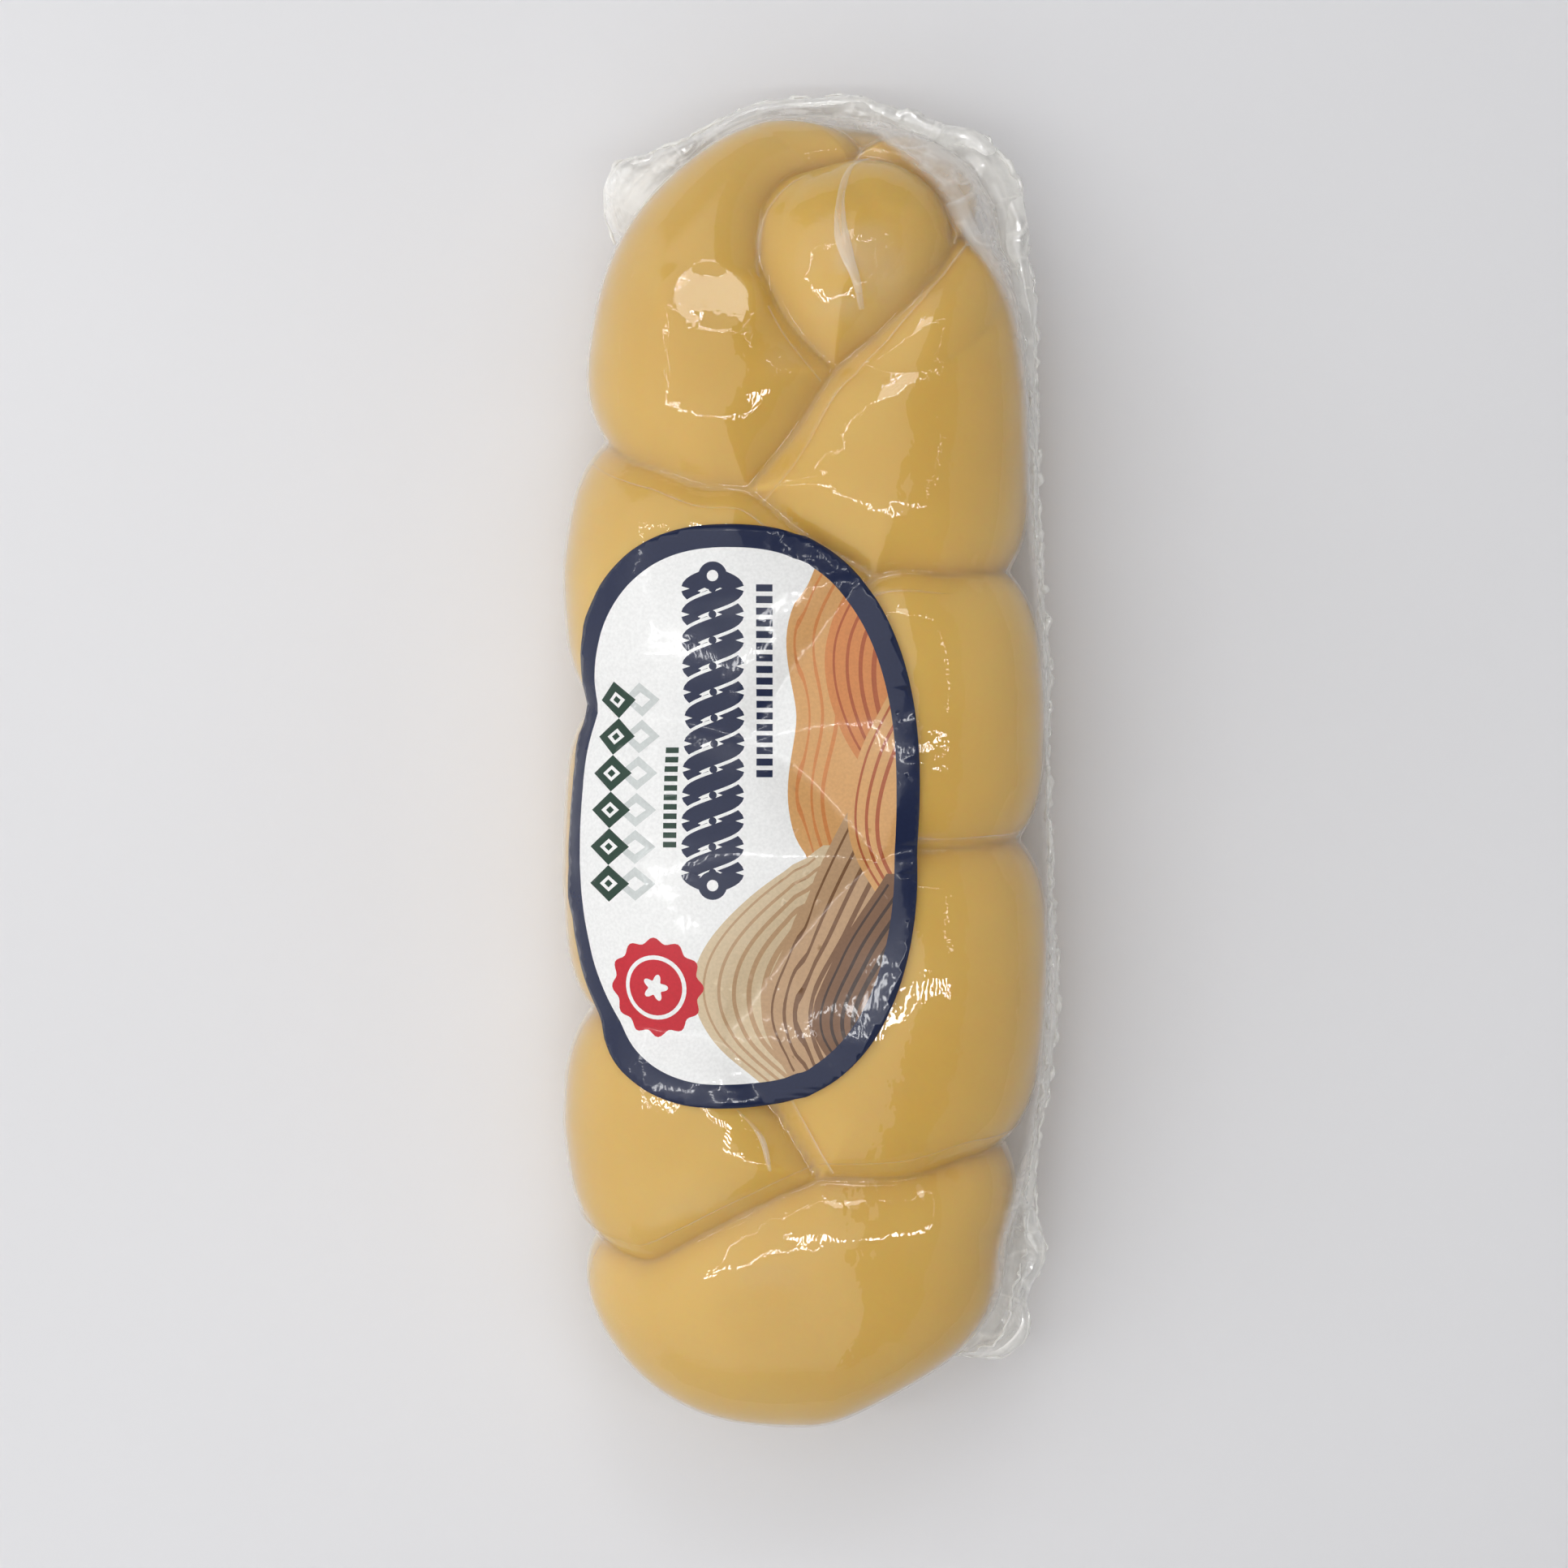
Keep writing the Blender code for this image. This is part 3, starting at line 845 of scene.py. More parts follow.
@dataclasses.dataclass
class FilmBridges:
    """Narrow strips where the film spans a crease instead of going down into it."""

    form: BraidForm
    half_span: float = 0.5
    across: int = 7
    sag: float = 0.06
    film_gap: float = 0.3
    film_crease: float = 0.8
    step: float = 0.4

    def strip(self, line: Array, start: int) -> tuple[Array, Faces, Array]:
        """One seam's strip.

        Args:
            line: the seam's points on the loaf.
            start: the number of the strip's first vertex.

        Returns:
            Its points, its faces and its haze.
        """
        skip = max(1, round(self.step / self.form.seam_step))
        line = line[::skip]
        forward = unit(np.gradient(line, axis=0))
        outward = unit(line / (self.form.half_width(line[:, 1], line[:, 0])[:, None] ** 2 + 1.0))
        sideways = unit(np.cross(forward, outward))
        outward = np.cross(sideways, forward)
        share = np.linspace(-1, 1, self.across)
        edge_depth = float(self.form.groove(np.array(self.half_span), self.film_crease))
        rise = self.form.swell_height(line)
        wiggle = 0.1 * lattice_noise(line, 3.0, 41)
        offset = share[None, :] * self.half_span + wiggle[:, None]
        depth = edge_depth + 0.06 + self.sag * (1 - share[None, :] ** 2) - rise[:, None]
        points = line[:, None, :] + sideways[:, None, :] * offset[..., None]
        points = points + outward[:, None, :] * (self.film_gap - depth)[..., None]
        strength = 0.3 + 0.2 * lattice_noise(line, 6.0, 42)
        haze = strength[:, None] * np.exp(-((share[None, :] / 0.4) ** 2))
        points = points + (0, 0, self.form.mid_z)
        return points.reshape(-1, 3), sheet_faces(len(line), self.across, start), haze.ravel()

    def build(self) -> bpy.types.Object:
        """All the strips, as one piece."""
        points: list[Array] = []
        faces: Faces = []
        haze: list[Array] = []
        start = 0
        for line in self.form.seam_lines:
            strip, strip_faces, strip_haze = self.strip(line, start)
            points.append(strip)
            faces += strip_faces
            haze.append(strip_haze)
            start += len(strip)
        piece = new_piece("film_bridges", np.vstack(points), faces, self.film_gap / 6)
        store(piece, "haze", np.concatenate(haze))
        finish = FilmFinish("film_over_creases", milky=(0.96, 0.84, 0.70), bump_scale=500.0)
        piece.data.materials.append(finish.material())
        return piece


@dataclasses.dataclass(frozen=True)
class Fold:
    """A flattened pleat of spare film: its course seen from above, its width and its haze."""

    name: str
    course: tuple[Place, ...]
    width: float
    haze: float


FOLDS = (
    Fold(
        "film_fold_on_knob",
        ((10.6, 88.0), (7.4, 85.6), (5.8, 80.5), (5.6, 75.0), (6.5, 71.0), (7.7, 67.9), (8.6, 64.2)),
        1.9,
        0.42,
    ),
    Fold("film_fold_by_label", ((-9.4, -47.4), (-5.6, -51.7), (-4.2, -56.5)), 0.9, 0.4),
)


@dataclasses.dataclass
class FilmFolds:
    """The flattened pleats, each a narrow strip laid on the tight film."""

    form: BraidForm
    lift: float = 0.5
    crown: float = 0.3
    across: int = 11
    step: float = 0.4

    def build_one(self, fold: Fold) -> bpy.types.Object:
        """One pleat, tapered at both ends."""
        line = smooth_path(fold.course, self.step)
        forward = unit(np.gradient(line, axis=0))
        sideways = np.stack([forward[:, 1], -forward[:, 0]], axis=-1)
        along = np.linspace(0.06, 0.94, len(line))
        taper = np.sin(along * math.pi) ** 0.5 * (0.4 + 0.6 * np.clip(1.7 * along, 0, 1) ** 2)
        share = np.linspace(-1, 1, self.across)
        half = 0.5 * fold.width * taper * (1 + 0.3 * lattice_noise(line, 4.0, 51))
        plan = line[:, None, :] + sideways[:, None, :] * (share[None, :] * half[:, None])[..., None]
        turns = self.form.turn_on_top(plan[..., 0], plan[..., 1])
        patch = self.form.patch(turns, plan[..., 1])
        depth = self.form.groove(patch.away, 1.2)
        rise = self.lift + self.crown * (1 - share[None, :] ** 2) * taper[:, None]
        points = patch.points + patch.outward * (rise - depth)[..., None] + (0, 0, self.form.mid_z)
        piece = new_piece(fold.name, points, sheet_faces(len(line), self.across))
        edges = np.exp(-(((np.abs(share) - 0.8) / 0.22) ** 2))
        places = np.stack(np.broadcast_arrays(0.25 * line[:, :1], share), -1)
        streak = np.clip(0.5 + 0.9 * lattice_noise(places, 0.6, 52), 0, 1)
        haze = fold.haze * (0.4 + 0.6 * np.maximum(0.6 * edges[None, :], streak)) * taper[:, None]
        store(piece, "haze", haze)
        finish = FilmFinish(fold.name, bump_scale=600.0, bump_strength=0.3)
        piece.data.materials.append(finish.material())
        return piece

    def build(self) -> None:
        """Every pleat."""
        for fold in FOLDS:
            self.build_one(fold)


# The crumpled rim of spare film


@dataclasses.dataclass
class FilmFrill:
    """Two sheets of spare film sealed at their outer edge, round one side and the top end.

    The stations give sizes by the share of the way from the left side, over the top end, to
    the lower right.
    """

    form: BraidForm
    start_y: float = 76.0
    end_y: float = -85.0
    steps: int = 1000
    across: int = 26
    cord_sides: int = 8
    edge_z: float = 20.0
    tautness: float = 0.45
    fade_in: float = 2.4  # from a sheet's inner edge
    fade_end: float = 6.0  # at both of its ends
    reach: Stations = (
        (0.0, 2.6),
        (0.02, 8.6),
        (0.036, 9.4),
        (0.055, 6.4),
        (0.076, 4.0),
        (0.12, 3.4),
        (0.151, 3.8),
        (0.185, 3.5),
        (0.218, 3.2),
        (0.242, 4.8),
        (0.281, 4.3),
        (0.326, 3.0),
        (0.37, 2.1),
        (0.444, 1.6),
        (0.5, 1.0),
        (0.567, 1.2),
        (0.62, 0.7),
        (0.66, 0.6),
        (0.705, 1.0),
        (0.775, 2.2),
        (0.833, 1.4),
        (0.87, 1.2),
        (0.895, 2.6),
        (0.925, 5.8),
        (0.949, 5.0),
        (0.974, 6.9),
        (0.988, 4.2),
        (1.0, 1.0),
    )
    shoulder: Stations = (
        (0.0, 0.8),
        (0.1, 1.0),
        (0.17, 2.5),
        (0.21, 7.0),
        (0.25, 8.5),
        (0.29, 8.5),
        (0.33, 4.5),
        (0.38, 2.8),
        (0.5, 2.4),
        (0.85, 2.4),
        (0.93, 3.2),
        (1.0, 1.5),
    )
    crumple: Stations = (
        (0.0, 0.8),
        (0.06, 0.8),
        (0.09, 0.25),
        (0.14, 0.4),
        (0.19, 0.9),
        (0.29, 1.0),
        (0.34, 0.5),
        (0.48, 0.25),
        (0.82, 0.3),
        (0.92, 0.8),
        (1.0, 0.7),
    )

    def course(self) -> tuple[Array, Array]:
        """Points along the loaf's outline and the directions out of it, both seen from above."""
        angle = np.linspace(math.pi / 2, 0, 80)
        top_y = self.start_y + (self.form.half_length - self.start_y) * np.sin(angle)
        side_y = np.linspace(self.start_y, self.end_y, 200)[1:]
        left = np.stack([-self.form.half_width(top_y[::-1], -1), top_y[::-1]], axis=-1)
        right_y = np.concatenate([top_y, side_y])[1:]
        right = np.stack([self.form.half_width(right_y, 1), right_y], axis=-1)
        points = np.vstack([left, right])
        gaps = np.linalg.norm(np.diff(points, axis=0), axis=1)
        along = np.concatenate([[0], np.cumsum(gaps)])
        at = np.linspace(0, along[-1], self.steps)
        line = np.stack([np.interp(at, along, points[:, 0]), np.interp(at, along, points[:, 1])], axis=-1)
        forward = unit(np.gradient(line, axis=0))
        return line, np.stack([-forward[:, 1], forward[:, 0]], axis=-1)

    def sheet(self, upper: bool) -> tuple[Array, Array, Array]:
        """One of the two sheets.

        Args:
            upper: whether it is the one that lies over the cheese's shoulder.

        Returns:
            Its points, its haze and its presence.
        """
        line, outward = self.course()
        share = np.linspace(0, 1, self.steps)
        length = np.arange(self.steps) * np.linalg.norm(line[1] - line[0])
        across = np.linspace(0, 1, self.across)
        seed = 60 if upper else 80
        tangle = np.stack([length, np.zeros_like(length)], axis=-1)
        reach = smooth_value(self.reach, share)
        amount = smooth_value(self.crumple, share)
        ragged = 0.5 * lattice_noise(tangle, 5.0, 61) + 0.3 * lattice_noise(tangle, 2.2, 62)
        reach = reach + amount * ragged
        shoulder = smooth_value(self.shoulder, share) * (1.0 if upper else 0.5)
        out = -shoulder[:, None] + (reach + shoulder)[:, None] * across[None, :]
        plan = line[:, None, :] + outward[:, None, :] * out[..., None]
        skin = np.where(out < 0, self.skin_height(plan), 0.8 * np.exp(-np.maximum(out, 0.0)))
        taut = skin[:, :1] * self.tautness * (1 - across[None, :]) ** 2
        height = np.maximum(taut, skin)
        flat = np.stack([np.broadcast_to(length[:, None], out.shape), out + 40.0 * (not upper)], axis=-1)
        lengthwise = flat * (0.2, 1.0)
        folds = 0.5 * lattice_noise(lengthwise, 1.7, seed + 1)
        folds += 0.25 * lattice_noise(lengthwise, 0.8, seed + 2)
        knots = 0.9 * lattice_noise(flat, 4.0, seed + 3)
        knots += 0.4 * np.abs(lattice_noise(flat, 2.0, seed + 4))
        crumpled = np.clip(amount, 0, 1)[:, None]
        ridges = folds * (1 - 0.4 * crumpled) + knots * crumpled
        loose = np.sqrt(across)[None, :] * (0.35 + 0.65 * crumpled)
        wave = 1.5 * amount[:, None] * lattice_noise(flat[:, :1], 9.0, 64) * across[None, :]
        sway = 0.3 * loose * crumpled * lattice_noise(flat, 3.0, seed + 5)
        plan = plan + outward[:, None, :] * sway[..., None]
        rise = np.maximum(height + loose * ridges, np.where(out < 0, skin, -1e3))
        z = self.form.mid_z + (rise if upper else -rise) + wave
        edge_pull = across[None, :] ** 6
        z = z * (1 - edge_pull) + (self.edge_z + wave + 0.3 * ridges) * edge_pull
        points = np.concatenate([plan, z[..., None]], axis=-1)
        if upper:
            self.hem_line = points[:, -1]
            inner = self.inner_place(out, reach)
            self.inner_line = points[np.arange(self.steps), inner]
        haze = self.sheet_haze(flat, out, reach, crumpled, seed)
        share_in = np.clip((out - out[:, :1]) / self.fade_in, 0, 1)
        ends = np.clip(np.minimum(length, length[-1] - length) / self.fade_end, 0, 1)[:, None]
        presence = share_in**2 * (3 - 2 * share_in) * ends**0.7
        return points.reshape(-1, 3), haze.ravel(), presence.ravel()

    @staticmethod
    def inner_place(out: Array, reach: Array) -> Array:
        """For each row of a sheet, the number of the point where the inner cord runs."""
        middle = reach * (0.35 + 0.25 * lattice_noise(np.arange(len(reach))[:, None], 45.0, 68))
        return np.abs(out - middle[:, None]).argmin(axis=1)

    def skin_height(self, plan: Array) -> Array:
        """The height above the loaf's middle at which film lies loosely on its top."""
        height = self.form.top_height(plan[..., 0], plan[..., 1])
        points = np.concatenate([plan, height[..., None]], axis=-1)
        away, _ = self.form.nearest_seam(points)
        return height + 1.15 * self.form.swell_height(points) - self.form.hollow(away) + 0.8

    @staticmethod
    def sheet_haze(flat: Array, out: Array, reach: Array, crumpled: Array, seed: int) -> Array:
        """How milky a sheet is: cords and creases along it, branching ones where it is crumpled.

        Args:
            flat: places on the sheet laid flat, along it and out from the loaf.
            out: the distance out from the loaf's outline.
            reach: the distance out of the sheet's edge, for each row.
            crumpled: how crumpled it is, for each row.
            seed: which noise is read.

        Returns:
            A haze for each place.
        """
        lengthwise = flat * (0.14, 1.0)
        drawn = crease_lines(lengthwise, 1.8, 0.3, seed + 6)
        drawn += 0.6 * crease_lines(lengthwise, 1.0, 0.3, seed + 7)
        branching = crease_lines(flat, 6.0, 0.12, seed + 8) + 0.7 * crease_lines(flat, 3.2, 0.16, seed + 9)
        cloud = np.clip(0.5 + 0.9 * lattice_noise(flat * (0.5, 1.0), 4.0, seed + 10), 0, 1)
        place = flat[:, :1]
        haze = np.where(out < 0, 0.1, 0.22) + cloud * (0.2 + 0.4 * crumpled) * np.where(out < 0, 0.2, 1.0)
        haze = haze + (0.12 + 0.22 * crumpled) * drawn * (0.2 + 0.8 * cloud) + 0.5 * branching * crumpled
        cords = ((1.0, 0.5, 0.9, 0.0), (0.55, 0.3, 0.6, 0.5), (0.1, 0.3, 0.7, 0.35))
        for share, width, strength, wander in cords:
            wandering = wander * lattice_noise(place, 6.0, seed + int(50 * share))
            middle = reach[:, None] * share - 0.25 + wandering
            level = strength * (0.6 + 0.4 * lattice_noise(place, 3.0, seed + int(60 * share)))
            haze = np.maximum(haze, level * np.exp(-(((out - middle) / width) ** 2)))
        haze = haze + np.where(out < 0, crumpled * (0.04 + 0.25 * drawn), 0.0)
        inner_fade = np.clip((out - out[:, :1]) / 0.6, 0, 1)
        return np.clip(haze * inner_fade, 0, 0.9)

    def build_cord(self, name: str, line: Array, first: float, radius: float, seed: int) -> bpy.types.Object:
        """A rope of rolled-up film along the rim, thick and thin by turns.

        Args:
            name: the piece's name.
            line: its course in space, one point for each of the rim's steps.
            first: the share of the course at which it starts.
            radius: its greatest radius.
            seed: which noise is read.

        Returns:
            The piece.
        """
        line = smooth_path(line[int(first * len(line)) :: 2], 0.5)
        length = np.arange(len(line))[:, None] * 0.5
        line = line + 0.35 * np.stack([lattice_noise(length, 2.6, seed + i) for i in range(3)], axis=-1)
        forward = unit(np.gradient(line, axis=0))
        sideways = unit(np.cross(forward, (0.0, 0.0, 1.0)))
        upward = np.cross(sideways, forward)
        thick = 0.6 + 0.4 * lattice_noise(length, 2.2, seed + 4) + 0.25 * lattice_noise(length, 0.9, seed + 5)
        ends = np.sin(np.linspace(0.02, 0.98, len(line)) * math.pi) ** 0.3
        radii = radius * np.clip(thick, 0.2, 1.2) * ends
        angle = np.arange(self.cord_sides) * math.tau / self.cord_sides
        c, s = np.cos(angle)[None, :, None], np.sin(angle)[None, :, None]
        ring = c * sideways[:, None, :] + s * upward[:, None, :]
        points = line[:, None, :] + radii[:, None, None] * ring
        points = np.vstack([points.reshape(-1, 3), line[:1], line[-1:]])
        faces = ring_faces(len(line), self.cord_sides)
        piece = new_piece(name, points, faces, 0.2)
        haze = 0.6 + 0.3 * lattice_noise(length, 5.0, seed + 6)
        store(piece, "haze", np.append(np.repeat(haze, self.cord_sides), (haze[0], haze[-1])))
        finish = FilmFinish(name, facing_mirror=0.25, roughness=0.15, bump_scale=500.0)
        piece.data.materials.append(finish.material())
        return piece

    def build(self) -> bpy.types.Object:
        """Both sheets as one piece, which stands for the CAD frill, and two cords along it."""
        upper, upper_haze, upper_presence = self.sheet(True)
        lower, lower_haze, lower_presence = self.sheet(False)
        faces = sheet_faces(self.steps, self.across) + sheet_faces(self.steps, self.across, len(upper))
        piece = new_piece("film_rim", np.vstack([upper, lower]), faces, 0.2)
        store(piece, "haze", np.concatenate([upper_haze, lower_haze]))
        store(piece, "presence", np.concatenate([upper_presence, lower_presence]))
        finish = FilmFinish(
            "crumpled_film",
            facing_mirror=0.32,
            roughness=0.14,
            bump_scale=260.0,
            bump_strength=0.4,
            milk_relief=0.25,
            fades=True,
        )
        piece.data.materials.append(finish.material())
        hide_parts("film_frill")
        self.build_cord("film_hem", self.hem_line, 0.0, 0.55, 90)
        self.build_cord("film_inner_cord", self.inner_line, 0.3, 0.42, 110)
        return piece


# The label


@dataclasses.dataclass
class Shape:
    """A printed shape: its ink and its outline on the flat label, in order round it."""

    ink: Ink
    outline: Array


def within(places: Array, outline: Array) -> Array:
    """Whether each place lies inside a closed outline.

    Args:
        places: points on the flat label.
        outline: the outline's points, in order round it.

    Returns:
        True or False for each place.
    """
    x, y = places.T
    low, high = outline.min(axis=0), outline.max(axis=0)
    near = (x > low[0]) & (x < high[0]) & (y > low[1]) & (y < high[1])
    x, y = x[near], y[near]
    crossed = np.zeros(len(x), bool)
    for (x0, y0), (x1, y1) in zip(outline, np.roll(outline, -1, axis=0)):
        if y0 != y1:
            crossed ^= ((y0 > y) != (y1 > y)) & (x < x0 + (x1 - x0) * (y - y0) / (y1 - y0))
    found = np.zeros(len(places), bool)
    found[near] = crossed
    return found


def disc(centre: Place, radius: float, count: int = 40, lobes: int = 0, swing: float = 0.0) -> Array:
    """A round outline, or one with as many lobes as asked."""
    angle = np.arange(count) * math.tau / count
    reach = radius * (1 + swing * np.cos(lobes * angle))
    return np.stack([centre[0] + reach * np.cos(angle), centre[1] + reach * np.sin(angle)], axis=-1)


def lozenge(centre: Place, half_u: float, half_v: float) -> Array:
    """A four-cornered outline with its corners on the axes."""
    u, v = centre
    return np.array([(u + half_u, v), (u, v + half_v), (u - half_u, v), (u, v - half_v)])


def band(line: Array, half_width: float) -> Array:
    """The outline of a stripe of even width along a line."""
    forward = unit(np.gradient(line, axis=0))
    side = np.stack([-forward[:, 1], forward[:, 0]], axis=-1) * half_width
    return np.vstack([line + side, (line - side)[::-1]])


@dataclasses.dataclass
class LabelPrint:
    """What is printed on the flat label. u runs across the braid and v along it.

    The print is of plain ornament: a plaited band, rows of lozenges and dashes, a rosette, and
    rolling fields along one long side.
    """

    half_u: float
    half_v: float
    power: float
    border: float = 3.3

    def oval(self, inset: float, count: int = 180) -> Array:
        """The label's outline, drawn in by inset."""
        angle = np.arange(count) * math.tau / count
        c, s = np.cos(angle), np.sin(angle)
        reach = (np.abs(c) ** self.power + np.abs(s) ** self.power) ** (-1 / self.power)
        return np.stack([(self.half_u - inset) * reach * c, (self.half_v - inset) * reach * s], axis=-1)

    def plait(self) -> list[Shape]:
        """Two strands that cross over and under each other, in a band along v."""
        middle, swing, low, high, turns = -2.4, 3.2, -9.6, 33.6, 6
        half_period = (high - low) / (2 * turns)
        shapes = []
        for i in range(2 * turns + 1):
            start = low + i * half_period
            v = np.linspace(start - half_period / 2, start + half_period / 2, 15)
            v = np.clip(v, low, high)
            for over in (False, True):
                sign = 1 if over == (i % 2 == 0) else -1
                u = middle + sign * swing * np.sin((v - low) / half_period * math.pi)
                line = np.stack([u, v], axis=-1)
                line = line[np.append(True, np.diff(v) > 1e-6)]
                if over:
                    shapes.append(Shape(Ink.WHITE, band(line, 1.65)))
                shapes.append(Shape(Ink.NAVY, band(line, 1.2)))
        for i in range(2 * turns):
            shapes.append(Shape(Ink.NAVY, disc((middle, low + (i + 0.5) * half_period), 0.55, 14)))
        for v in (low, high):
            shapes.append(Shape(Ink.NAVY, disc((middle, v), 2.0, 32)))
            shapes.append(Shape(Ink.WHITE, disc((middle, v), 0.8, 16)))
        return shapes

    def lozenges(self) -> list[Shape]:
        """A row of dark lozenges beside the border, with a pale row as their shadow."""
        count, low, high = 6, -12.0, 19.0
        step = (high - low) / count
        shadow_u, dark_u = -13.4, -17.6
        layers = (
            (Ink.GHOST, shadow_u, 3.0, 0.46),
            (Ink.WHITE, shadow_u, 1.5, 0.2),
            (Ink.GREEN, dark_u, 3.3, 0.5),
            (Ink.WHITE, dark_u, 1.5, 0.22),
            (Ink.GREEN, dark_u, 0.7, 0.11),
        )
        return [
            Shape(ink, lozenge((u, low + (i + 0.5) * step), half_u, step * share))
            for i in range(count)
            for ink, u, half_u, share in layers
        ]

    def dashes(self, ink: Ink, u: float, low: float, high: float, length: float, half: float) -> list[Shape]:
        """A broken line along v."""
        count = max(1, round((high - low) / (length * 1.6)))
        step = (high - low) / count
        shapes = []
        for i in range(count):
            start = low + i * step
            line = np.stack([np.full(4, u), np.linspace(start, start + length, 4)], axis=-1)
            shapes.append(Shape(ink, band(line, half)))
        return shapes

    def rosette(self) -> list[Shape]:
        """A red rosette with a white ring and a plain middle."""
        centre = (-10.8, -24.0)
        return [
            Shape(Ink.RED, disc(centre, 6.7, 96, 12, 0.06)),
            Shape(Ink.WHITE, disc(centre, 4.6)),
            Shape(Ink.RED, disc(centre, 4.0)),
            Shape(Ink.WHITE, disc(centre, 1.5, 60, 5, 0.3)),
        ]

    def hill(self, ink: Ink, stripe: Ink, skyline: Stations, rows: int, gap: float) -> list[Shape]:
        """A rounded field from its skyline to the label's edge, with furrows along it.

        Args:
            ink: the field's colour.
            stripe: the furrows' colour.
            skyline: (v, u) stations.
            rows: how many furrows it has.
            gap: the distance between two furrows.

        Returns:
            The field and its furrows.
        """
        v = np.linspace(skyline[0][0], skyline[-1][0], 40)
        u = smooth_value(skyline, v)
        top = np.stack([u, v], axis=-1)
        edge = self.half_u + 1.0
        foot = np.array([(edge, v[-1]), (edge, v[0])])
        shapes = [Shape(ink, np.vstack([top, foot]))]
        for i in range(rows):
            lean = (v - v.mean()) * 0.03 * i
            line = np.stack([u + gap * (i + 0.7) + lean, v], axis=-1)[2:-2]
            shapes.append(Shape(stripe, band(line, 0.16 + 0.06 * i)))
        return shapes

    def fields(self) -> list[Shape]:
        """The rolling fields, the farthest first."""
        hills = (
            (Ink.AMBER, Ink.ORANGE, ((-10, 12), (2, 8.2), (14, 9.5), (26, 8.0), (37, 13)), 3, 2.0),
            (Ink.ORANGE, Ink.RUST, ((2, 22), (12, 15.5), (24, 13.4), (36, 19)), 4, 1.8),
            (Ink.SAND, Ink.TAN, ((-39, 6), (-31, -3.0), (-21, -4.8), (-11, 3.0), (-4, 13)), 5, 2.2),
            (Ink.TAN, Ink.BROWN, ((-38, 9), (-28, 4.4), (-16, 8.6), (-2, 15.0), (8, 21)), 4, 2.1),
            (Ink.AMBER, Ink.RUST, ((-14, 22.5), (-4, 17.0), (8, 17.8), (18, 22.5)), 3, 1.6),
            (Ink.BROWN, Ink.UMBER, ((-37, 16), (-30, 11.6), (-20, 14.4), (-8, 22)), 4, 1.7),
        )
        return [shape for hill in hills for shape in self.hill(*hill)]

    def shapes(self) -> list[Shape]:
        """Everything inside the border, from the bottom layer up."""
        found = self.fields()
        found += self.lozenges()
        found += self.dashes(Ink.GREEN, -8.4, -4.3, 10.2, 0.8, 0.95)
        found += self.plait()
        found += self.dashes(Ink.NAVY, 4.8, 5.5, 33.0, 1.0, 1.15)
        found += self.rosette()
        return found


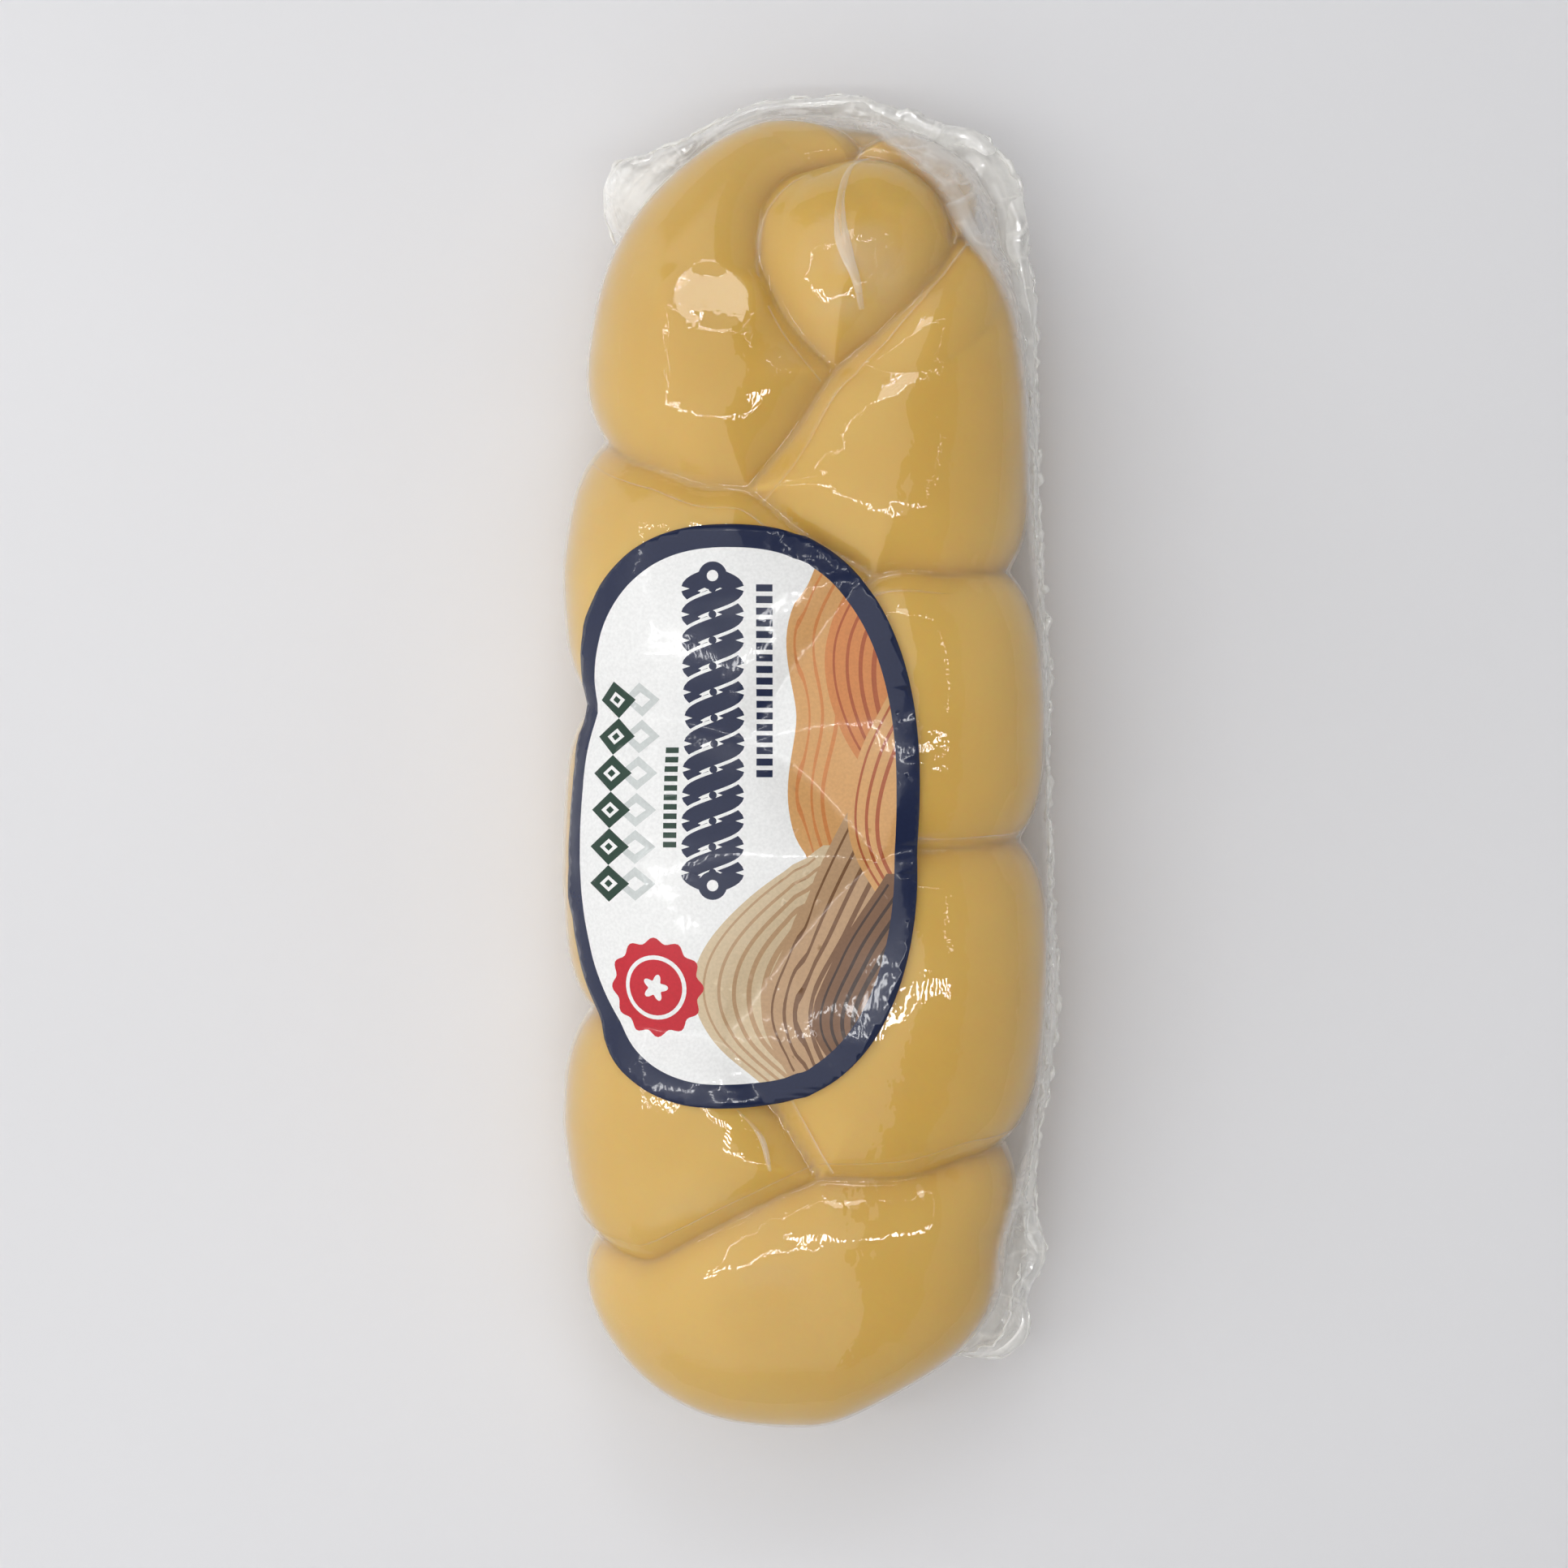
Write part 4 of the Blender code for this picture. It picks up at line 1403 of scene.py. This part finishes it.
@dataclasses.dataclass
class OvalLabel:
    """The printed label, bent over the film and slightly wrinkled."""

    form: BraidForm
    centre_arc: float = -9.8  # across the braid from the line along its top
    centre_y: float = -6.7
    half_u: float = 26.6
    half_v: float = 40.9
    power: float = 2.5
    cell: float = 0.8
    margin: float = 0.3  # kept free of filling points, inside the outline
    half_steps: int = 100  # in which the arc from the top to either side is measured
    lift: float = 0.75
    follow: float = 0.5
    thickness: float = 0.14

    def flat_mesh(self) -> tuple[Array, Faces, list[Ink]]:
        """The flat label cut into triangles that respect every printed outline.

        Returns:
            The points on the flat label, the triangles, and each triangle's ink.
        """
        layout = LabelPrint(self.half_u, self.half_v, self.power)
        outer = layout.oval(0.0)
        inner = layout.oval(layout.border)
        art = layout.shapes()
        outlines = [outer, inner] + [shape.outline for shape in art]
        points: list[Vector] = []
        edges = []
        for outline in outlines:
            first, count = len(points), len(outline)
            edges += [(first + i, first + (i + 1) % count) for i in range(count)]
            points += [Vector(point) for point in outline]
        points += self.filling(layout)
        made, _, triangles, *_ = geometry.delaunay_2d_cdt(points, edges, [], 0, 1e-5)
        made = np.array([tuple(point) for point in made])
        triangles = np.array(triangles)
        middles = made[triangles].mean(axis=1)
        layer = np.zeros(len(triangles), int)
        for i, shape in enumerate(art):
            layer[within(middles, shape.outline)] = i + 1
        printed = within(middles, inner)
        kept = within(middles, outer)
        inks = [Ink.WHITE] + [shape.ink for shape in art]
        chosen = [inks[i] if on_print else Ink.NAVY for i, on_print in zip(layer[kept], printed[kept])]
        return made, [tuple(triangle) for triangle in triangles[kept].tolist()], chosen

    def filling(self, layout: LabelPrint) -> list[Vector]:
        """Evenly spread points inside the outline, so that the label can bend."""
        found = []
        rows = math.ceil(2 * self.half_v / self.cell)
        columns = math.ceil(2 * self.half_u / self.cell)
        for i, k in itertools.product(range(rows), range(columns)):
            u = -self.half_u + (k + 0.5 * (i % 2)) * self.cell
            v = -self.half_v + i * self.cell
            across = (abs(u) / (layout.half_u - self.margin)) ** self.power
            along = (abs(v) / (layout.half_v - self.margin)) ** self.power
            if across + along < 1:
                found.append(Vector((u, v)))
        return found

    def bend(self, flat: Array) -> tuple[Array, Array]:
        """Turns and places along the braid for points of the flat label."""
        ys = flat[:, 1] + self.centre_y
        turns = np.linspace(-1, 1, 2 * self.half_steps + 1)
        bent = np.empty(len(flat))
        for i, (u, y) in enumerate(zip(flat[:, 0] + self.centre_arc, ys)):
            section = self.form.loaf(turns, np.full_like(turns, y))
            steps = np.hypot(np.diff(section[:, 0]), np.diff(section[:, 2]))
            arc = np.concatenate([[0], np.cumsum(steps)])
            bent[i] = np.interp(u, arc - arc[self.half_steps], turns)
        return bent, ys

    def wrinkles(self, flat: Array) -> Array:
        """How far the label's wrinkles lift each of its points."""
        u, v = flat.T
        swell = 0.16 * lattice_noise(flat, 11.0, 71) + 0.06 * lattice_noise(flat, 4.5, 72)
        upper_left = np.exp(-(((u + 15) / 9) ** 2 + ((v - 14) / 16) ** 2))
        lower = np.exp(-(((u - 1) / 8) ** 2 + ((v + 31) / 9) ** 2))
        size = (np.abs(u) / self.half_u) ** self.power + (np.abs(v) / self.half_v) ** self.power
        rim = np.clip((size - 0.62) / 0.38, 0, 1)
        sharp = crease_lines(flat, 4.2, 0.5, 73) - 0.4
        fine = crease_lines(flat * (1.0, 1.7), 2.6, 0.5, 74) - 0.4
        edge = np.clip((size - 0.8) / 0.2, 0, 1) * np.clip(0.4 - u / 20, 0, 1)
        bites = np.clip(lattice_noise(flat, 5.5, 75) - 0.1, 0, 1)
        return swell + 0.14 * upper_left * sharp + 0.2 * lower * fine + 0.1 * rim * sharp + 0.5 * edge * bites

    def build(self) -> bpy.types.Object:
        """The label, which stands for the CAD label."""
        flat, triangles, inks = self.flat_mesh()
        turns, ys = self.bend(flat)
        patch = self.form.patch(turns, ys)
        depth = self.form.hollow(patch.away) + self.follow * self.form.crease(patch.away, 2.0)
        lift = self.lift + self.wrinkles(flat) - depth
        top = patch.points + patch.outward * lift[:, None] + (0, 0, self.form.mid_z)
        under = top - patch.outward * self.thickness
        count = len(top)
        backs = [tuple(count + i for i in reversed(triangle)) for triangle in triangles]
        rim = self.rim_faces(triangles, count)
        piece = new_piece("label_printed", np.vstack([top, under]), triangles + backs + rim)
        colours = [ink.value for ink in inks] + [Ink.WHITE.value] * (len(backs) + len(rim))
        self.colour(piece, colours)
        piece.data.materials.append(LabelFinish().material())
        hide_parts("oval_label")
        return piece

    @staticmethod
    def rim_faces(triangles: Faces, count: int) -> Faces:
        """Faces that close the edge between the top and the underside."""
        seen = set()
        for a, b, c in triangles:
            seen |= {(a, b), (b, c), (c, a)}
        return [(b, a, a + count, b + count) for a, b in sorted(seen) if (b, a) not in seen]

    @staticmethod
    def colour(piece: bpy.types.Object, colours: list[Colour]) -> None:
        """Gives each face of a piece its own ink."""
        counts = np.empty(len(piece.data.polygons), np.int32)
        piece.data.polygons.foreach_get("loop_total", counts)
        corners = np.repeat(np.array(colours, np.float32), counts, axis=0)
        corners = np.hstack([corners, np.ones((len(corners), 1), np.float32)])
        attribute = piece.data.attributes.new("ink", "FLOAT_COLOR", "CORNER")
        attribute.data.foreach_set("color", corners.ravel())


# The studio


@dataclasses.dataclass(frozen=True)
class Panel:
    """A flat light, in metres: its middle, what it faces, its sides and how bright it looks.

    soft gives the share of its width over which it fades in from each edge: left, right,
    bottom and top, seen with its own axes. lamps splits it into that many separate lamps along
    one or the other axis, each a third of its own share long.
    """

    name: str
    centre: tuple[float, float, float]
    target: tuple[float, float, float]
    size: tuple[float, float]
    brightness: float
    soft: tuple[float, float, float, float] = (0.0, 0.0, 0.0, 0.0)
    lamps: tuple[int, int] = (0, 0)

    def build(self) -> None:
        """The light, unseen by the camera itself."""
        light = bpy.data.lights.new(self.name, "AREA")
        light.shape = "RECTANGLE"
        light.size, light.size_y = self.size
        light.energy = self.brightness * math.pi * self.size[0] * self.size[1]
        if any(self.soft) or any(self.lamps):
            self.shape(light)
        lamp = bpy.data.objects.new(self.name, light)
        lamp.location = self.centre
        lamp.rotation_euler = (Vector(self.target) - Vector(self.centre)).to_track_quat("-Z", "Y").to_euler()
        lamp.visible_camera = False
        bpy.context.scene.collection.objects.link(lamp)

    def shape(self, light: bpy.types.Light) -> None:
        """Makes the light dimmer towards its soft edges, and dark between its lamps."""
        light.use_nodes = True
        tree = light.node_tree
        place = tree.nodes.new("ShaderNodeNewGeometry").outputs["Parametric"]
        split = tree.nodes.new("ShaderNodeSeparateXYZ")
        tree.links.new(place, split.inputs[0])
        factors = []
        for share, axis, edge in zip(self.soft, (0, 0, 1, 1), (0.0, 1.0, 0.0, 1.0)):
            if share:
                ramp = tree.nodes.new("ShaderNodeMapRange")
                ramp.interpolation_type = "SMOOTHSTEP"
                tree.links.new(split.outputs[axis], ramp.inputs["Value"])
                ramp.inputs["From Min"].default_value = edge
                ramp.inputs["From Max"].default_value = abs(edge - share)
                factors.append(ramp.outputs[0])
        for count, axis in zip(self.lamps, (0, 1)):
            if count:
                within_cell = self.sum_node(tree, "MULTIPLY", split.outputs[axis], count)
                part = self.sum_node(tree, "FRACT", within_cell, 0.0)
                factors.append(self.sum_node(tree, "LESS_THAN", part, 1 / 3))
        strength = factors[0]
        for factor in factors[1:]:
            strength = self.sum_node(tree, "MULTIPLY", strength, factor)
        tree.links.new(strength, tree.nodes["Emission"].inputs["Strength"])

    @staticmethod
    def sum_node(
        tree: bpy.types.NodeTree, operation: str, a: bpy.types.NodeSocket, b: object
    ) -> bpy.types.NodeSocket:
        """The result of a Math node in a light's tree."""
        node = tree.nodes.new("ShaderNodeMath")
        node.operation = operation
        feed(tree, node.inputs[0], a)
        feed(tree, node.inputs[1], b)
        return node.outputs[0]


CEILING_FADE = (0.0, 0.0, 0.15, 0.15)
WALL_FADE = (0.1, 0.1, 0.0, 0.0)


@dataclasses.dataclass
class Studio:
    """A pale board under soft light, seen from straight above as in the photograph."""

    picture_px: int = 1932
    focal_px: float = 4041.6
    sensor_mm: float = 36.0
    camera_m: tuple[float, float, float] = (-0.00226, -0.00214, 0.502)
    floor_half_m: float = 3.0
    floor_z_m: float = -0.0002
    world: Colour = (0.085, 0.085, 0.088)
    panels: tuple[Panel, ...] = (
        Panel("ceiling", (-0.65, -0.05, 0.95), (-0.65, -0.05, 0.0), (1.7, 3.9), 0.94, CEILING_FADE),
        Panel("wall_left", (-1.5, -0.05, 0.475), (0.0, -0.05, 0.475), (3.9, 0.95), 0.76, WALL_FADE),
        Panel("wall_right", (1.05, -0.05, 0.62), (0.0, -0.05, 0.62), (3.9, 1.25), 0.3, WALL_FADE),
        Panel("wall_front", (-0.3, -1.6, 0.45), (-0.3, 0.0, 0.45), (2.6, 0.9), 0.3, WALL_FADE),
        Panel("patch_light", (0.04, 0.7, 1.0), (0.04, 0.7, 0.0), (0.34, 0.18), 4.1),
        Panel("grid", (-0.032, 0.469, 0.55), (-0.032, 0.469, 0.0), (0.07, 0.055), 90.0, lamps=(4, 3)),
        Panel("row_near", (-0.06, -0.05, 0.55), (-0.06, -0.05, 0.0), (0.76, 0.03), 28.0, lamps=(26, 0)),
        Panel("row_far", (-0.06, 0.35, 0.55), (-0.06, 0.35, 0.0), (0.76, 0.014), 14.0, lamps=(26, 0)),
        Panel("row_left", (-0.44, 0.15, 0.55), (-0.44, 0.15, 0.0), (0.016, 0.4), 18.0, lamps=(0, 14)),
        Panel("row_right", (0.32, 0.15, 0.55), (0.32, 0.15, 0.0), (0.014, 0.24), 8.0, lamps=(0, 8)),
    )

    def build(self) -> None:
        """The board, the lights, the world and the camera."""
        self.build_board()
        for panel in self.panels:
            panel.build()
        self.build_world()
        self.build_camera()

    def build_board(self) -> None:
        """The pale board that the braid lies on."""
        half = self.floor_half_m
        mesh = bpy.data.meshes.new("board")
        square = ((-half, -half), (half, -half), (half, half), (-half, half))
        corners = [(x, y, self.floor_z_m) for x, y in square]
        mesh.from_pydata(corners, [], [(0, 1, 2, 3)])
        board = bpy.data.objects.new("board", mesh)
        mesh.materials.append(FloorFinish().material())
        bpy.context.scene.collection.objects.link(board)

    def build_world(self) -> None:
        """Dim even light from all round."""
        world = bpy.data.worlds.new("studio")
        world.use_nodes = True
        world.node_tree.nodes["Background"].inputs["Color"].default_value = solid_colour(self.world)
        bpy.context.scene.world = world
        bpy.context.scene.view_settings.view_transform = "Standard"

    def build_camera(self) -> None:
        """A camera that looks straight down."""
        data = bpy.data.cameras.new("camera")
        data.sensor_width = self.sensor_mm
        data.lens = self.focal_px / self.picture_px * self.sensor_mm
        camera = bpy.data.objects.new("camera", data)
        camera.location = self.camera_m
        bpy.context.scene.collection.objects.link(camera)
        bpy.context.scene.camera = camera


def main() -> None:
    """Builds the pieces in order, from the cheese out to the studio."""
    logging.basicConfig(level=logging.INFO, format="%(message)s")
    form = BraidForm()
    braid = Braid(form)
    braid.build_cheese()
    braid.build_film()
    FilmBridges(form).build()
    FilmFolds(form).build()
    FilmFrill(form).build()
    OvalLabel(form).build()
    Studio().build()


if __name__ == "__main__":
    main()
